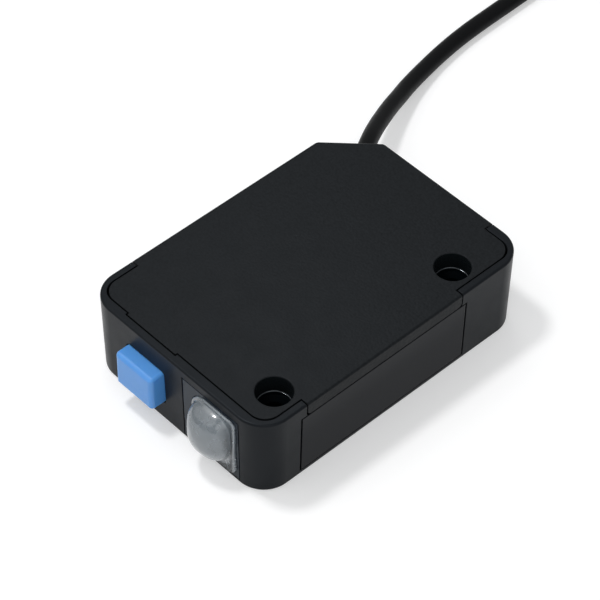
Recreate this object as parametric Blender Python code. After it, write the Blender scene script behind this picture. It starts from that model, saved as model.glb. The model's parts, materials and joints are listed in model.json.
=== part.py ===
"""Transparent object sensor: a flat moulded photoelectric sensor with a push button, a status
dome, a dark optical window on one long side and a cable from a cut-off corner.

Frame: metres, +Z up, the sensor lies on its base. Its length runs along Y, with the button at
the -Y end, the optical window faces +X, and the origin is the middle of the base.
"""
import math

import bmesh
import bpy
from mathutils import Vector

# Case, overall
LENGTH = 0.0600
WIDTH = 0.0425
HEIGHT = 0.0165
CORNER_R = 0.0056
CHAMFER = 0.0082
CHAMFER_ROUND = 0.0012
EDGE_ROUND = 0.0006
DRAFT = 0.0003
WALL = 0.0022
FLOOR = 0.0016
SEAM = 0.0002

# Cover, its side lips and the rim that the case keeps round it
COVER_T = 0.0016
RIM_FRONT = 0.0020
RIM_SIDE = 0.0016
RIM_CORNER_R = 0.0030
LIP_H = 0.0026
LIP_T = 0.0012
LIP_ROUND = 0.0008
LIP_FROM_FRONT = 0.0100
LIP_FROM_BACK = 0.0155
BACK_POST_FROM_SIDE = 0.00825
TAB_W = 0.01175
TAB_REACH = 0.00045
TAB_BESIDE = 0.0005

# Mounting holes, with a counterbore for the screw's head and a funnel at its floor
HOLE_FROM_SIDE = 0.00565
HOLE_FROM_FRONT = 0.0079
HOLE_FROM_BACK = 0.0121
HOLE_D = 0.0034
HOLE_LEAD_D = 0.0050
CBORE_D = 0.0063
CBORE_DEPTH = 0.0037
COLLAR_WALL = 0.0005

# Optical window on the +X side
WINDOW_PAST_FRONT_HOLE = 0.0010
WINDOW_PAST_REAR_HOLE = 0.0024
WINDOW_Z0 = 0.0011
WINDOW_T = 0.0014
WINDOW_LEDGE = 0.0022

# Indicator: a dark bezel with a milky lens on the front end
BEZEL_SHARE = 0.308
BEZEL_END_SHARE = 0.367
BEZEL_Z0 = 0.0008
BEZEL_BELOW_TOP = 0.0019
BEZEL_T = 0.0012
BEZEL_LEFT = 0.0022
BEZEL_EDGE = 0.0007
LENS_CORNER_R = 0.0012
LENS_DOME_CORNER_R = 0.0032
LENS_PROUD = 0.00025
LENS_T = 0.0020
DOME_WIDE = 0.416
DOME_WIDE_RIGHT = 0.47
DOME_TALL = 0.43
DOME_LEFT = 0.0005
DOME_UP = 0.0003
DOME_REACH = 0.0037
DOME_SQUARE = 2.5
DOME_SQUARE_ABOVE = 4.0

# Push button
BUTTON_SIDE_SHARE = 0.147
BUTTON_W = 0.0087
BUTTON_TALL = 0.418
BUTTON_REACH = 0.0027
BUTTON_CORNER_R = 0.0010
BUTTON_ROUND = 0.0008
BUTTON_GAP = 0.00025
BUTTON_TRAVEL = 0.0005
FLANGE_LAP = 0.0009
FLANGE_T = 0.0009
FLANGE_ABOVE_BOARD = 0.00025
SEAL_T = 0.0007
STEM_D = 0.0026
STEM_LENGTH = 0.0007

# Switch behind the button
SWITCH_SIZE = 0.0060
SWITCH_DEPTH = 0.0034
SWITCH_EDGE_R = 0.0005
SWITCH_FOOT_W = 0.0044
PLUNGER_D = 0.0030
PLUNGER_OUT = 0.0011
PLUNGER_IN = 0.0012

# Gap between pieces that rest on each other
SEAT = 0.0003

# Main board on four posts
BOARD_T = 0.0010
BOARD_POST_H = 0.0014
BOARD_POST_D = 0.0030
BOARD_PEG_D = 0.0014
BOARD_EDGE = 0.0004
BOARD_BESIDE_OPTICS = 0.0027
TONGUE_BESIDE_BOSS = 0.0009
TONGUE_L = 0.0089
POST_FROM_EDGE = 0.0022
POST_BEHIND_SWITCH = 0.0066

# Parts on the board: width, length and height, and how far across the board they sit
PROCESSOR = (0.0070, 0.0070, 0.0012)
PROCESSOR_ACROSS = 0.41
PROCESSOR_ALONG = -0.13
DRIVER = (0.0040, 0.0050, 0.0015)
DRIVER_ACROSS = 0.27
REGULATOR = (0.0030, 0.0036, 0.0012)
REGULATOR_ACROSS = 0.60
BEHIND_PADS = 0.0062
CAPACITOR_D = 0.0050
CAPACITOR_H = 0.0054
CAPACITOR_ACROSS = 0.80
CAPACITOR_FROM_BACK = 0.0170
LED_SIZE = (0.0020, 0.0016, 0.0014)
LED_FROM_EDGE = 0.0010
LED_PITCH = 0.0027
LED_FROM_LENS = 0.0009
LED_DOME_D = 0.0010

# Optics behind the window
HOLDER_FROM_SIDE = 0.01255
HOLDER_PAST_HOLE = 0.0049
HOLDER_EDGE_R = 0.0012
EMITTER_SHARE = 0.255
RECEIVER_SHARE = 0.72
BARREL_WALL = 0.00165
BARREL_STEP = 0.0007
OPTIC_LENS_T = 0.0030
OPTIC_LENS_RIM = 0.0010
FILTER_T = 0.0006
FILTER_GAP = 0.0002
SNOUT_D = 0.0046
OPTIC_BOARD_T = 0.0009
EMITTER_CHIP = (0.0016, 0.0034, 0.0034)
RECEIVER_CHIP = (0.0012, 0.0040, 0.0044)
CHIP_LENS_D = 0.0024
CHIP_LENS_REACH = 0.7
SHIELD_D = 0.0026
SHIELD_W = 0.0084
SHIELD_H = 0.0070
SHIELD_WALL = 0.0004

# Cable entry in the cut-off corner
CABLE_D = 0.0032
CABLE_SHIFT = 0.0020
CABLE_BELOW_MIDDLE = 0.00025
CABLE_FIT = 0.00015
GROMMET_D = 0.0048
GROMMET_FLANGE_T = 0.0010
CLAMP_D = 0.0052
CLAMP_L = 0.0026
JACKET_IN = 0.0092
CABLE_START = 0.00015

# Cable route outside, a relaxed curve down to the ground and on to the coil: distances from
# the cable's exit across and along, and height
CABLE_ROUTE = [
    (-0.0042, 0.0048, 0.00785),
    (-0.0062, 0.0080, 0.0074),
    (-0.0083, 0.0116, 0.0065),
    (-0.0102, 0.0153, 0.0055),
    (-0.0120, 0.0191, 0.0045),
    (-0.0136, 0.0229, 0.0035),
    (-0.0150, 0.0265, 0.0028),
    (-0.0169, 0.0331, 0.0020),
    (-0.0182, 0.0396, 0.0017),
    (-0.0189, 0.0458, 0.00165),
    (-0.0192, 0.0519, 0.00165),
    (-0.0194, 0.0581, 0.00165),
    (-0.0196, 0.0647, 0.00165),
    (-0.0199, 0.0727, 0.00165),
    (-0.0201, 0.0812, 0.00165),
    (-0.0202, 0.0897, 0.00165),
    (-0.0202, 0.1012, 0.00165),
]
COIL_R_OUT = 0.0262
COIL_R_IN = 0.0121
COIL_H = 0.0141
COIL_ROUND = 0.0012

# Stripped end of the cable: angle round the coil in degrees, distance from it and height
TAIL_ROUTE = [
    (28.0, 0.0019, 0.0118),
    (12.0, 0.0020, 0.0100),
    (-5.0, 0.0021, 0.0067),
    (-21.0, 0.0022, 0.0038),
    (-36.0, 0.0023, 0.0021),
    (-50.0, 0.0024, 0.00165),
    (-66.0, 0.0025, 0.00165),
]

# Stripped cores: place of each in the fan, counted outwards, then sizes. They first come down
# near the ground and then lie on it
LEAD_ORDER = [2, 1, 0, 3]
LEAD_D = 0.0010
LEAD_TURN = 32.0
LEAD_SPREAD = 0.0016
LEAD_NEST = 0.00075
LEAD_LOW = 0.0008
LEAD_LYING = 0.0006

# Leads inside the case: their pads' order on the board, then sizes
PAD_ORDER = [2, 1, 0, 3]
INNER_LEAD_D = 0.0008
INNER_LEAD_NEST = 0.00065
INNER_LEAD_SPACING = 1.6
PAD_PITCH = 0.0019
PAD_FROM_SIDE = 0.00625
PAD_FROM_BACK = 0.0178

# The four cores' colours
LEADS = [("brown", (0.13, 0.055, 0.03)), ("white", (0.75, 0.75, 0.72)),
         ("blue", (0.03, 0.12, 0.45)), ("black", (0.02, 0.02, 0.02))]

# Fineness of the mesh
SMOOTH_ANGLE = math.radians(32)
ARC_STEPS = 8
SMALL_ARC_STEPS = 5
ROUND_STEPS = 3
CIRCLE_STEPS = 32
SMALL_CIRCLE_STEPS = 20
COIL_STEPS = 48
DOME_STEPS = 9
CURVE_STEPS = 24
TUBE_SPACING = 2.5
CUT_PAST = 0.0010


# Outlines

def rounded_outline(corners, steps=ARC_STEPS):
    """Turns corners (x, y, radius), counter-clockwise, into points with an arc at each corner."""
    points = []
    for i, (x, y, radius) in enumerate(corners):
        here = Vector((x, y))
        if radius <= 0:
            points.append(here)
            continue
        before = (Vector(corners[i - 1][:2]) - here).normalized()
        after = (Vector(corners[(i + 1) % len(corners)][:2]) - here).normalized()
        half = before.angle(after) / 2
        centre = here + (before + after).normalized() * radius / math.sin(half)
        start = here + before * radius / math.tan(half) - centre
        end = here + after * radius / math.tan(half) - centre
        sweep = math.pi - 2 * half
        for k in range(steps + 1):
            t = k / steps
            a = math.sin((1 - t) * sweep) / math.sin(sweep)
            b = math.sin(t * sweep) / math.sin(sweep)
            points.append(centre + start * a + end * b)
    return points


def rounded_rectangle(u0, u1, v0, v1, radius, steps=ARC_STEPS):
    """A rectangle with four round corners."""
    corners = [(u0, v0, radius), (u1, v0, radius), (u1, v1, radius), (u0, v1, radius)]
    return rounded_outline(corners, steps)


def circle(u, v, radius, steps=CIRCLE_STEPS):
    """Points round a circle, counter-clockwise."""
    turns = [2 * math.pi * k / steps for k in range(steps)]
    return [Vector((u + radius * math.cos(a), v + radius * math.sin(a))) for a in turns]


def body_outline(inset):
    """The case's outline in plan, set in from its widest size."""
    w = WIDTH / 2 - inset
    l = LENGTH / 2 - inset
    r = max(CORNER_R - inset, EDGE_ROUND / 2)
    cut = CHAMFER - inset * (2 - math.sqrt(2))
    rc = max(CHAMFER_ROUND - inset, EDGE_ROUND / 2)
    return rounded_outline([(-w, -l, r), (w, -l, r), (w, l, r), (-w + cut, l, rc), (-w, l - cut, rc)])


# Solids

def flat(points, z):
    """Plan points at one height."""
    return [Vector((p.x, p.y, z)) for p in points]


def facing_front(points, y):
    """Points (x, z) on a plane that faces the front end."""
    return [Vector((p.x, y, p.y)) for p in points]


def facing_side(points, x):
    """Points (y, z) on a plane that faces the long side."""
    return [Vector((x, p.x, p.y)) for p in points]


def loft(rings):
    """A closed solid through rings of equally many points, capped at both ends."""
    bm = bmesh.new()
    loops = [[bm.verts.new(p) for p in ring] for ring in rings]
    for low, high in zip(loops, loops[1:]):
        for i in range(len(low)):
            j = (i + 1) % len(low)
            bm.faces.new((low[i], low[j], high[j], high[i]))
    bm.faces.new(loops[0])
    bm.faces.new(loops[-1])
    return bm


def block(x0, x1, y0, y1, z0, z1):
    """A plain block between two corners."""
    plan = [Vector((x0, y0)), Vector((x1, y0)), Vector((x1, y1)), Vector((x0, y1))]
    return loft([flat(plan, z0), flat(plan, z1)])


def upright(x, y, diameter, z0, z1, steps=CIRCLE_STEPS):
    """A vertical cylinder."""
    plan = circle(x, y, diameter / 2, steps)
    return loft([flat(plan, z0), flat(plan, z1)])


def turned(profile, place, along, across, steps=CIRCLE_STEPS):
    """A solid turned from (distance along, radius) pairs about an axis through place."""
    third = along.cross(across)
    rings = []
    for distance, radius in profile:
        centre = place + along * distance
        ring = []
        for k in range(steps):
            a = 2 * math.pi * k / steps
            ring.append(centre + (across * math.cos(a) + third * math.sin(a)) * radius)
        rings.append(ring)
    return loft(rings)


def material(name, colour, roughness, metallic=0.0, transmission=0.0):
    """A Principled material."""
    mat = bpy.data.materials.new(name)
    mat.use_nodes = True
    shader = mat.node_tree.nodes["Principled BSDF"]
    shader.inputs["Base Color"].default_value = (*colour, 1.0)
    shader.inputs["Roughness"].default_value = roughness
    shader.inputs["Metallic"].default_value = metallic
    shader.inputs["Transmission Weight"].default_value = transmission
    mat.diffuse_color = (*colour, 1.0)
    return mat


def solid(name, bm, mat):
    """Makes a named object of a mesh, shaded smooth where its faces nearly meet."""
    bmesh.ops.recalc_face_normals(bm, faces=bm.faces)
    mesh = bpy.data.meshes.new(name)
    bm.to_mesh(mesh)
    bm.free()
    mesh.materials.append(mat)
    mesh.shade_smooth()
    mesh.set_sharp_from_angle(angle=SMOOTH_ANGLE)
    obj = bpy.data.objects.new(name, mesh)
    bpy.context.collection.objects.link(obj)
    return obj


def guide(name, bm):
    """A cutter or a shape that is added: it isn't part of the object."""
    bmesh.ops.recalc_face_normals(bm, faces=bm.faces)
    mesh = bpy.data.meshes.new(name)
    bm.to_mesh(mesh)
    bm.free()
    obj = bpy.data.objects.new(name, mesh)
    obj.display_type = "WIRE"
    obj.hide_render = True
    bpy.context.collection.objects.link(obj)
    return obj


def combine(obj, operation, *others):
    """Boolean with one or more guides, in order."""
    for other in others:
        step = obj.modifiers.new(other.name, "BOOLEAN")
        step.operation = operation
        step.solver = "EXACT"
        step.object = other


def smooth_line(points, spacing):
    """Points at an even spacing along a smooth curve through the given ones."""
    points = [Vector(p) for p in points]
    ends = [2 * points[0] - points[1]] + points + [2 * points[-1] - points[-2]]
    fine = []
    for a, b, c, d in zip(ends, ends[1:], ends[2:], ends[3:]):
        for k in range(CURVE_STEPS):
            t = k / CURVE_STEPS
            fine.append(0.5 * (2 * b + (c - a) * t + (2 * a - 5 * b + 4 * c - d) * t ** 2
                               + (3 * b - 3 * c + d - a) * t ** 3))
    fine.append(points[-1])
    length = sum((q - p).length for p, q in zip(fine, fine[1:]))
    count = max(2, round(length / spacing))
    wanted = [length * k / count for k in range(count + 1)]
    line = [fine[0]]
    gone = 0.0
    for p, q in zip(fine, fine[1:]):
        step = (q - p).length
        while len(line) < count and gone + step >= wanted[len(line)]:
            line.append(p.lerp(q, (wanted[len(line)] - gone) / step))
        gone += step
    line.append(fine[-1])
    return line


def tube(name, points, diameter, mat, spacing=TUBE_SPACING):
    """A round tube on a curve, with filled ends. Spacing is in diameters."""
    line = smooth_line(points, spacing * diameter)
    curve = bpy.data.curves.new(name, "CURVE")
    curve.dimensions = "3D"
    curve.bevel_depth = diameter / 2
    curve.bevel_resolution = 2
    curve.use_fill_caps = True
    spline = curve.splines.new("POLY")
    spline.points.add(len(line) - 1)
    for point, place in zip(spline.points, line):
        point.co = (*place, 1.0)
    curve.materials.append(mat)
    obj = bpy.data.objects.new(name, curve)
    bpy.context.collection.objects.link(obj)
    return obj


# Places worked out from the sizes

FRONT = -LENGTH / 2
BACK = LENGTH / 2
INNER_FRONT = FRONT + WALL
INNER_SIDE = WIDTH / 2 - WALL
COVER_UNDER = HEIGHT - COVER_T
LIP_Y0 = FRONT + LIP_FROM_FRONT
LIP_Y1 = BACK - LIP_FROM_BACK
BACK_POST_X = WIDTH / 2 - BACK_POST_FROM_SIDE

HOLE_X = WIDTH / 2 - HOLE_FROM_SIDE
HOLE_Y0 = FRONT + HOLE_FROM_FRONT
HOLE_Y1 = BACK - HOLE_FROM_BACK
HOLES = [(HOLE_X, HOLE_Y0), (HOLE_X, HOLE_Y1)]
BOSS_TOP = HEIGHT - CBORE_DEPTH
COLLAR_D = CBORE_D + 2 * COLLAR_WALL

WINDOW_Y0 = HOLE_Y0 + WINDOW_PAST_FRONT_HOLE
WINDOW_Y1 = HOLE_Y1 - WINDOW_PAST_REAR_HOLE
WINDOW_Z1 = HEIGHT - LIP_H - SEAM

BOARD_Z = FLOOR + BOARD_POST_H
BOARD_TOP = BOARD_Z + BOARD_T
ON_BOARD = BOARD_TOP + SEAT
HOLDER_X0 = WIDTH / 2 - HOLDER_FROM_SIDE
BOARD_X0 = BOARD_EDGE - INNER_SIDE
BOARD_X1 = HOLDER_X0 - BOARD_BESIDE_OPTICS
TONGUE_X1 = HOLE_X - COLLAR_D / 2 - TONGUE_BESIDE_BOSS
LED_YELLOW_X = TONGUE_X1 - LED_FROM_EDGE
LED_GREEN_X = LED_YELLOW_X - LED_PITCH

BEZEL_W = WIDTH * BEZEL_SHARE
BEZEL_X1 = WIDTH * BEZEL_END_SHARE
BEZEL_X0 = BEZEL_X1 - BEZEL_W
BEZEL_Z1 = HEIGHT - BEZEL_BELOW_TOP
LENS_X0 = BEZEL_X0 + BEZEL_LEFT
LENS_X1 = BEZEL_X1 - BEZEL_EDGE
LENS_Z0 = BEZEL_Z0 + BEZEL_EDGE
LENS_Z1 = BEZEL_Z1 - BEZEL_EDGE
DOME_X = (LENS_X0 + LENS_X1) / 2 - DOME_LEFT
DOME_Z = (LENS_Z0 + LENS_Z1) / 2 + DOME_UP
DOME_A = DOME_WIDE * (LENS_X1 - LENS_X0)
DOME_A_RIGHT = DOME_WIDE_RIGHT * (LENS_X1 - LENS_X0)
DOME_C = DOME_TALL * (LENS_Z1 - LENS_Z0)

BUTTON_X = -WIDTH * BUTTON_SIDE_SHARE
BUTTON_H = HEIGHT * BUTTON_TALL
BUTTON_Z = BOARD_TOP + FLANGE_ABOVE_BOARD + FLANGE_LAP + BUTTON_H / 2
TAB_X0 = BUTTON_X - TAB_BESIDE - TAB_W / 2
TAB_X1 = TAB_X0 + TAB_W
FLANGE_Y0 = INNER_FRONT + SEAT + SEAL_T + SEAT
PLUNGER_Y0 = FLANGE_Y0 + FLANGE_T + STEM_LENGTH + SEAT
SWITCH_Y0 = PLUNGER_Y0 + PLUNGER_OUT

PAD_X0 = PAD_FROM_SIDE - WIDTH / 2
PAD_Y = BACK - PAD_FROM_BACK

HOLDER_X1 = INNER_SIDE - SEAT
HOLDER_Y0 = HOLE_Y0 + HOLDER_PAST_HOLE
HOLDER_Y1 = HOLE_Y1 - HOLDER_PAST_HOLE
HOLDER_L = HOLDER_Y1 - HOLDER_Y0
HOLDER_Z0 = FLOOR + SEAT
HOLDER_Z1 = COVER_UNDER - SEAT
AXIS_Z = (HOLDER_Z0 + HOLDER_Z1) / 2
EMITTER_Y = HOLDER_Y0 + EMITTER_SHARE * HOLDER_L
RECEIVER_Y = HOLDER_Y0 + RECEIVER_SHARE * HOLDER_L
OPTIC_LENS_D = min(HOLDER_Z1 - HOLDER_Z0 - 2 * BARREL_WALL, HOLDER_L / 2 - BARREL_WALL)
BARREL_D = OPTIC_LENS_D - 2 * BARREL_STEP
FILTER_X1 = HOLDER_X1 - FILTER_GAP
FILTER_X0 = FILTER_X1 - FILTER_T
OPTIC_LENS_X1 = FILTER_X0 - SEAM
OPTIC_LENS_X0 = OPTIC_LENS_X1 - OPTIC_LENS_T
OPTIC_BOARD_X1 = HOLDER_X0 - SEAT
OPTIC_BOARD_X0 = OPTIC_BOARD_X1 - OPTIC_BOARD_T

OUTWARD = Vector((-math.sqrt(0.5), math.sqrt(0.5), 0.0))
ALONG_CHAMFER = Vector((math.sqrt(0.5), math.sqrt(0.5), 0.0))
UP = Vector((0.0, 0.0, 1.0))
SIDEWAYS = Vector((1.0, 0.0, 0.0))
BACKWARD = Vector((0.0, 1.0, 0.0))
CABLE_Z = HEIGHT / 2 - CABLE_BELOW_MIDDLE
CABLE_EXIT = (Vector((CHAMFER / 2 - WIDTH / 2, BACK - CHAMFER / 2, CABLE_Z))
              + ALONG_CHAMFER * CABLE_SHIFT)
GROMMET_FLANGE_R = (CHAMFER - WALL * (2 - math.sqrt(2))) / math.sqrt(2) - CABLE_SHIFT
RUN = [Vector((CABLE_EXIT.x + x, CABLE_EXIT.y + y, z)) for x, y, z in CABLE_ROUTE]
COIL_X = RUN[-1].x + CABLE_D / 2 + SEAT + COIL_R_OUT
COIL_Y = RUN[-1].y + CABLE_D / 2


def round_over(inset_from, z_from, direction):
    """Insets and heights of the rings of a rounded edge, from the wall to the flat face."""
    rings = []
    for k in range(ROUND_STEPS + 1):
        a = math.pi / 2 * k / ROUND_STEPS
        inset = inset_from + EDGE_ROUND * (1 - math.cos(a))
        rings.append((inset, z_from + direction * EDGE_ROUND * math.sin(a)))
    return rings


def body_blank():
    """The outer form of case and cover together."""
    low = round_over(DRAFT, EDGE_ROUND, -1)[::-1]
    high = round_over(0.0, HEIGHT - EDGE_ROUND, 1)
    return loft([flat(body_outline(inset), z) for inset, z in low + high])


# The cover's share of the form, grown by a gap for the case's cut

def cover_plan(gap):
    """The cover's outline in plan: inside the rim at the corners, past the edge between them."""
    fx = WIDTH / 2 - RIM_SIDE + gap
    fy = LENGTH / 2 - RIM_FRONT + gap
    out = WIDTH / 2 + CUT_PAST
    back = LENGTH / 2 + CUT_PAST
    r = RIM_CORNER_R
    return rounded_outline([
        (-fx, -fy, r), (TAB_X0 - gap, -fy, 0), (TAB_X0 - gap, -fy - TAB_REACH, 0),
        (TAB_X1 + gap, -fy - TAB_REACH, 0), (TAB_X1 + gap, -fy, 0), (fx, -fy, r),
        (fx, LIP_Y0 - gap, 0), (out, LIP_Y0 - gap, 0), (out, LIP_Y1 + gap, 0),
        (fx, LIP_Y1 + gap, 0), (fx, fy, r), (BACK_POST_X + gap, fy, 0),
        (BACK_POST_X + gap, back, 0), (-out, back, 0), (-out, LIP_Y0 - gap, 0),
        (-fx, LIP_Y0 - gap, 0)])


def right_lip(gap):
    """The lip over the optical window, with round lower corners."""
    profile = rounded_rectangle(LIP_Y0 - gap, LIP_Y1 + gap, HEIGHT - LIP_H - gap,
                                HEIGHT + 2 * CUT_PAST, LIP_ROUND)
    inner = WIDTH / 2 - LIP_T - gap
    outer = WIDTH / 2 + CUT_PAST
    return loft([facing_side(profile, inner), facing_side(profile, outer)])


def left_lip(gap):
    """The lip along the other long side, the cut-off corner and the back."""
    inset = LIP_T + gap
    w = WIDTH / 2 - inset
    l = LENGTH / 2 - inset
    cut = CHAMFER - inset * (2 - math.sqrt(2))
    out = WIDTH / 2 + CUT_PAST
    back = LENGTH / 2 + CUT_PAST
    x1 = BACK_POST_X + gap
    y0 = LIP_Y0 - gap
    plan = [Vector(p) for p in ((x1, l), (x1, back), (-out, back), (-out, y0), (-w, y0),
                                (-w, l - cut), (-w + cut, l))]
    return loft([flat(plan, HEIGHT - LIP_H - gap), flat(plan, HEIGHT + CUT_PAST)])


def cover_share(name, gap):
    """All that the cover takes of the outer form."""
    share = guide(name, loft([flat(cover_plan(gap), COVER_UNDER - gap),
                              flat(cover_plan(gap), HEIGHT + CUT_PAST)]))
    combine(share, "UNION", guide(name + "_right_lip", right_lip(gap)),
            guide(name + "_left_lip", left_lip(gap)))
    return share


# Pieces of the housing

def lens_outline(grow):
    """The milky window's outline on the front end, as (x, z): rounder on the dome's side."""
    x0, x1, z0, z1 = LENS_X0 - grow, LENS_X1 + grow, LENS_Z0 - grow, LENS_Z1 + grow
    r = LENS_CORNER_R + grow
    wide = LENS_DOME_CORNER_R + grow
    return rounded_outline([(x0, z0, wide), (x1, z0, r), (x1, z1, r), (x0, z1, wide)],
                           SMALL_ARC_STEPS)


def button_outline(grow):
    """The button's outline on the front end, as (x, z)."""
    w = BUTTON_W / 2 + grow
    h = BUTTON_H / 2 + grow
    r = max(BUTTON_CORNER_R + grow, BUTTON_CORNER_R / 4)
    return rounded_rectangle(BUTTON_X - w, BUTTON_X + w, BUTTON_Z - h, BUTTON_Z + h, r,
                             SMALL_ARC_STEPS)


def board_posts():
    """Places of the four posts that carry the main board."""
    x0 = BOARD_X0 + POST_FROM_EDGE
    x1 = BOARD_X1 - POST_FROM_EDGE
    y0 = INNER_FRONT + BOARD_EDGE + SWITCH_DEPTH + POST_BEHIND_SWITCH
    y1 = LENGTH / 2 - WALL - BOARD_EDGE - POST_FROM_EDGE
    return [(x0, y0), (x1, y0), (x0, y1 - CHAMFER), (x1, y1)]


def make_case(plastic):
    """The lower shell: walls, floor, screw bosses, board posts and all openings."""
    case = solid("case", body_blank(), plastic)
    cavity = [flat(body_outline(WALL), z) for z in (FLOOR, HEIGHT + CUT_PAST)]
    combine(case, "DIFFERENCE", guide("cavity", loft(cavity)))
    for i, (x, y) in enumerate(HOLES):
        boss = upright(x, y, COLLAR_D, FLOOR / 2, BOSS_TOP)
        combine(case, "UNION", guide(f"boss_{i}", boss))
    for i, (x, y) in enumerate(board_posts()):
        post = turned([(FLOOR / 2, BOARD_POST_D / 2), (BOARD_Z - SEAT, BOARD_POST_D / 2),
                       (BOARD_Z - SEAT, BOARD_PEG_D / 2), (BOARD_TOP + SEAT, BOARD_PEG_D / 2)],
                      Vector((x, y, 0.0)), UP, SIDEWAYS, SMALL_CIRCLE_STEPS)
        combine(case, "UNION", guide(f"post_{i}", post))
    combine(case, "DIFFERENCE", cover_share("cover_space", SEAM))
    lead = (HOLE_LEAD_D - HOLE_D) / 2
    for i, (x, y) in enumerate(HOLES):
        over = upright(x, y, COLLAR_D + 2 * SEAM, BOSS_TOP, HEIGHT + CUT_PAST)
        bore = turned([(-CUT_PAST, HOLE_D / 2), (BOSS_TOP - lead, HOLE_D / 2),
                       (BOSS_TOP, HOLE_LEAD_D / 2), (HEIGHT, HOLE_LEAD_D / 2)],
                      Vector((x, y, 0.0)), UP, SIDEWAYS)
        combine(case, "DIFFERENCE", guide(f"collar_space_{i}", over), guide(f"bore_{i}", bore))
    combine(case, "DIFFERENCE", *window_cuts(), *indicator_cuts(), *button_cuts(), cable_cut())
    return case


def window_cuts():
    """The pocket that the optical window sits in and the opening behind it."""
    outer = WIDTH / 2 + CUT_PAST
    pocket = block(WIDTH / 2 - WINDOW_T - SEAM, outer, WINDOW_Y0 - SEAM, WINDOW_Y1 + SEAM,
                   WINDOW_Z0 - SEAM, WINDOW_Z1 + SEAM)
    light = block(INNER_SIDE - CUT_PAST, outer, HOLDER_Y0, HOLDER_Y1,
                  WINDOW_Z0 + WINDOW_LEDGE, WINDOW_Z1 - WINDOW_LEDGE / 2)
    return guide("window_pocket", pocket), guide("window_opening", light)


def indicator_cuts():
    """The pocket of the indicator's bezel and the opening for its lens."""
    pocket = block(BEZEL_X0 - SEAM, BEZEL_X1 + SEAM, FRONT - CUT_PAST, FRONT + BEZEL_T + SEAM,
                   BEZEL_Z0 - SEAM, BEZEL_Z1 + SEAM)
    opening = loft([facing_front(lens_outline(SEAM), y)
                    for y in (FRONT, INNER_FRONT + CUT_PAST)])
    return guide("bezel_pocket", pocket), guide("lens_opening", opening)


def button_cuts():
    """The button's guide opening."""
    opening = loft([facing_front(button_outline(BUTTON_GAP), y)
                    for y in (FRONT - CUT_PAST, INNER_FRONT + CUT_PAST)])
    return (guide("button_opening", opening),)


def cable_cut():
    """The round opening in the cut-off corner."""
    r = GROMMET_D / 2 + SEAM
    return guide("cable_opening", turned([(-WALL - CUT_PAST, r), (CUT_PAST, r)], CABLE_EXIT,
                                         OUTWARD, UP))


def make_cover(plastic):
    """The cover: a plate with side lips and a collar round each screw."""
    cover = solid("cover", body_blank(), plastic)
    combine(cover, "INTERSECT", cover_share("cover_region", 0.0))
    for i, (x, y) in enumerate(HOLES):
        collar = upright(x, y, COLLAR_D, BOSS_TOP + SEAM, HEIGHT - COVER_T / 2)
        combine(cover, "UNION", guide(f"collar_{i}", collar))
    for i, (x, y) in enumerate(HOLES):
        bore = upright(x, y, CBORE_D, BOSS_TOP - CUT_PAST, HEIGHT + CUT_PAST)
        combine(cover, "DIFFERENCE", guide(f"counterbore_{i}", bore))
    return cover


def make_window(plastic):
    """The optical window, flush with the long side."""
    window = solid("front_window", body_blank(), plastic)
    space = block(WIDTH / 2 - WINDOW_T, WIDTH / 2 + CUT_PAST, WINDOW_Y0, WINDOW_Y1,
                  WINDOW_Z0, WINDOW_Z1)
    combine(window, "INTERSECT", guide("window_space", space))
    return window


def make_bezel(plastic):
    """The dark bezel that the indicator's lens sits in."""
    bezel = solid("indicator_bezel", body_blank(), plastic)
    space = block(BEZEL_X0, BEZEL_X1, FRONT - CUT_PAST, FRONT + BEZEL_T, BEZEL_Z0, BEZEL_Z1)
    opening = loft([facing_front(lens_outline(SEAM), y) for y in (FRONT - CUT_PAST, INNER_FRONT)])
    combine(bezel, "INTERSECT", guide("bezel_space", space))
    combine(bezel, "DIFFERENCE", guide("bezel_opening", opening))
    return bezel


def dome_ring(share, reach):
    """One ring of the indicator's dome: a rounded square, squarer above, wider to the right."""
    points = []
    for k in range(CIRCLE_STEPS):
        a = 2 * math.pi * k / CIRCLE_STEPS
        square = DOME_SQUARE_ABOVE if math.sin(a) > 0 else DOME_SQUARE
        wide = DOME_A_RIGHT if math.cos(a) > 0 else DOME_A
        u = math.copysign(abs(math.cos(a)) ** (2 / square), math.cos(a))
        v = math.copysign(abs(math.sin(a)) ** (2 / square), math.sin(a))
        points.append(Vector((DOME_X + wide * share * u, DOME_Z + DOME_C * share * v)))
    return facing_front(points, FRONT - reach)


def make_indicator_lens(plastic):
    """The milky window with its dome."""
    rings = [facing_front(lens_outline(0.0), FRONT + LENS_T),
             facing_front(lens_outline(0.0), FRONT),
             facing_front(lens_outline(-LENS_PROUD), FRONT - LENS_PROUD)]
    lens = solid("indicator_lens", loft(rings), plastic)
    profile = [(1.0, -LENS_T / 2)]
    for k in range(DOME_STEPS):
        a = math.pi / 2 * k / DOME_STEPS
        profile.append((math.cos(a), DOME_REACH * math.sin(a)))
    dome = loft([dome_ring(share, reach) for share, reach in profile])
    combine(lens, "UNION", guide("dome", dome))
    return lens


# The button and the switch that it presses

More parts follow.
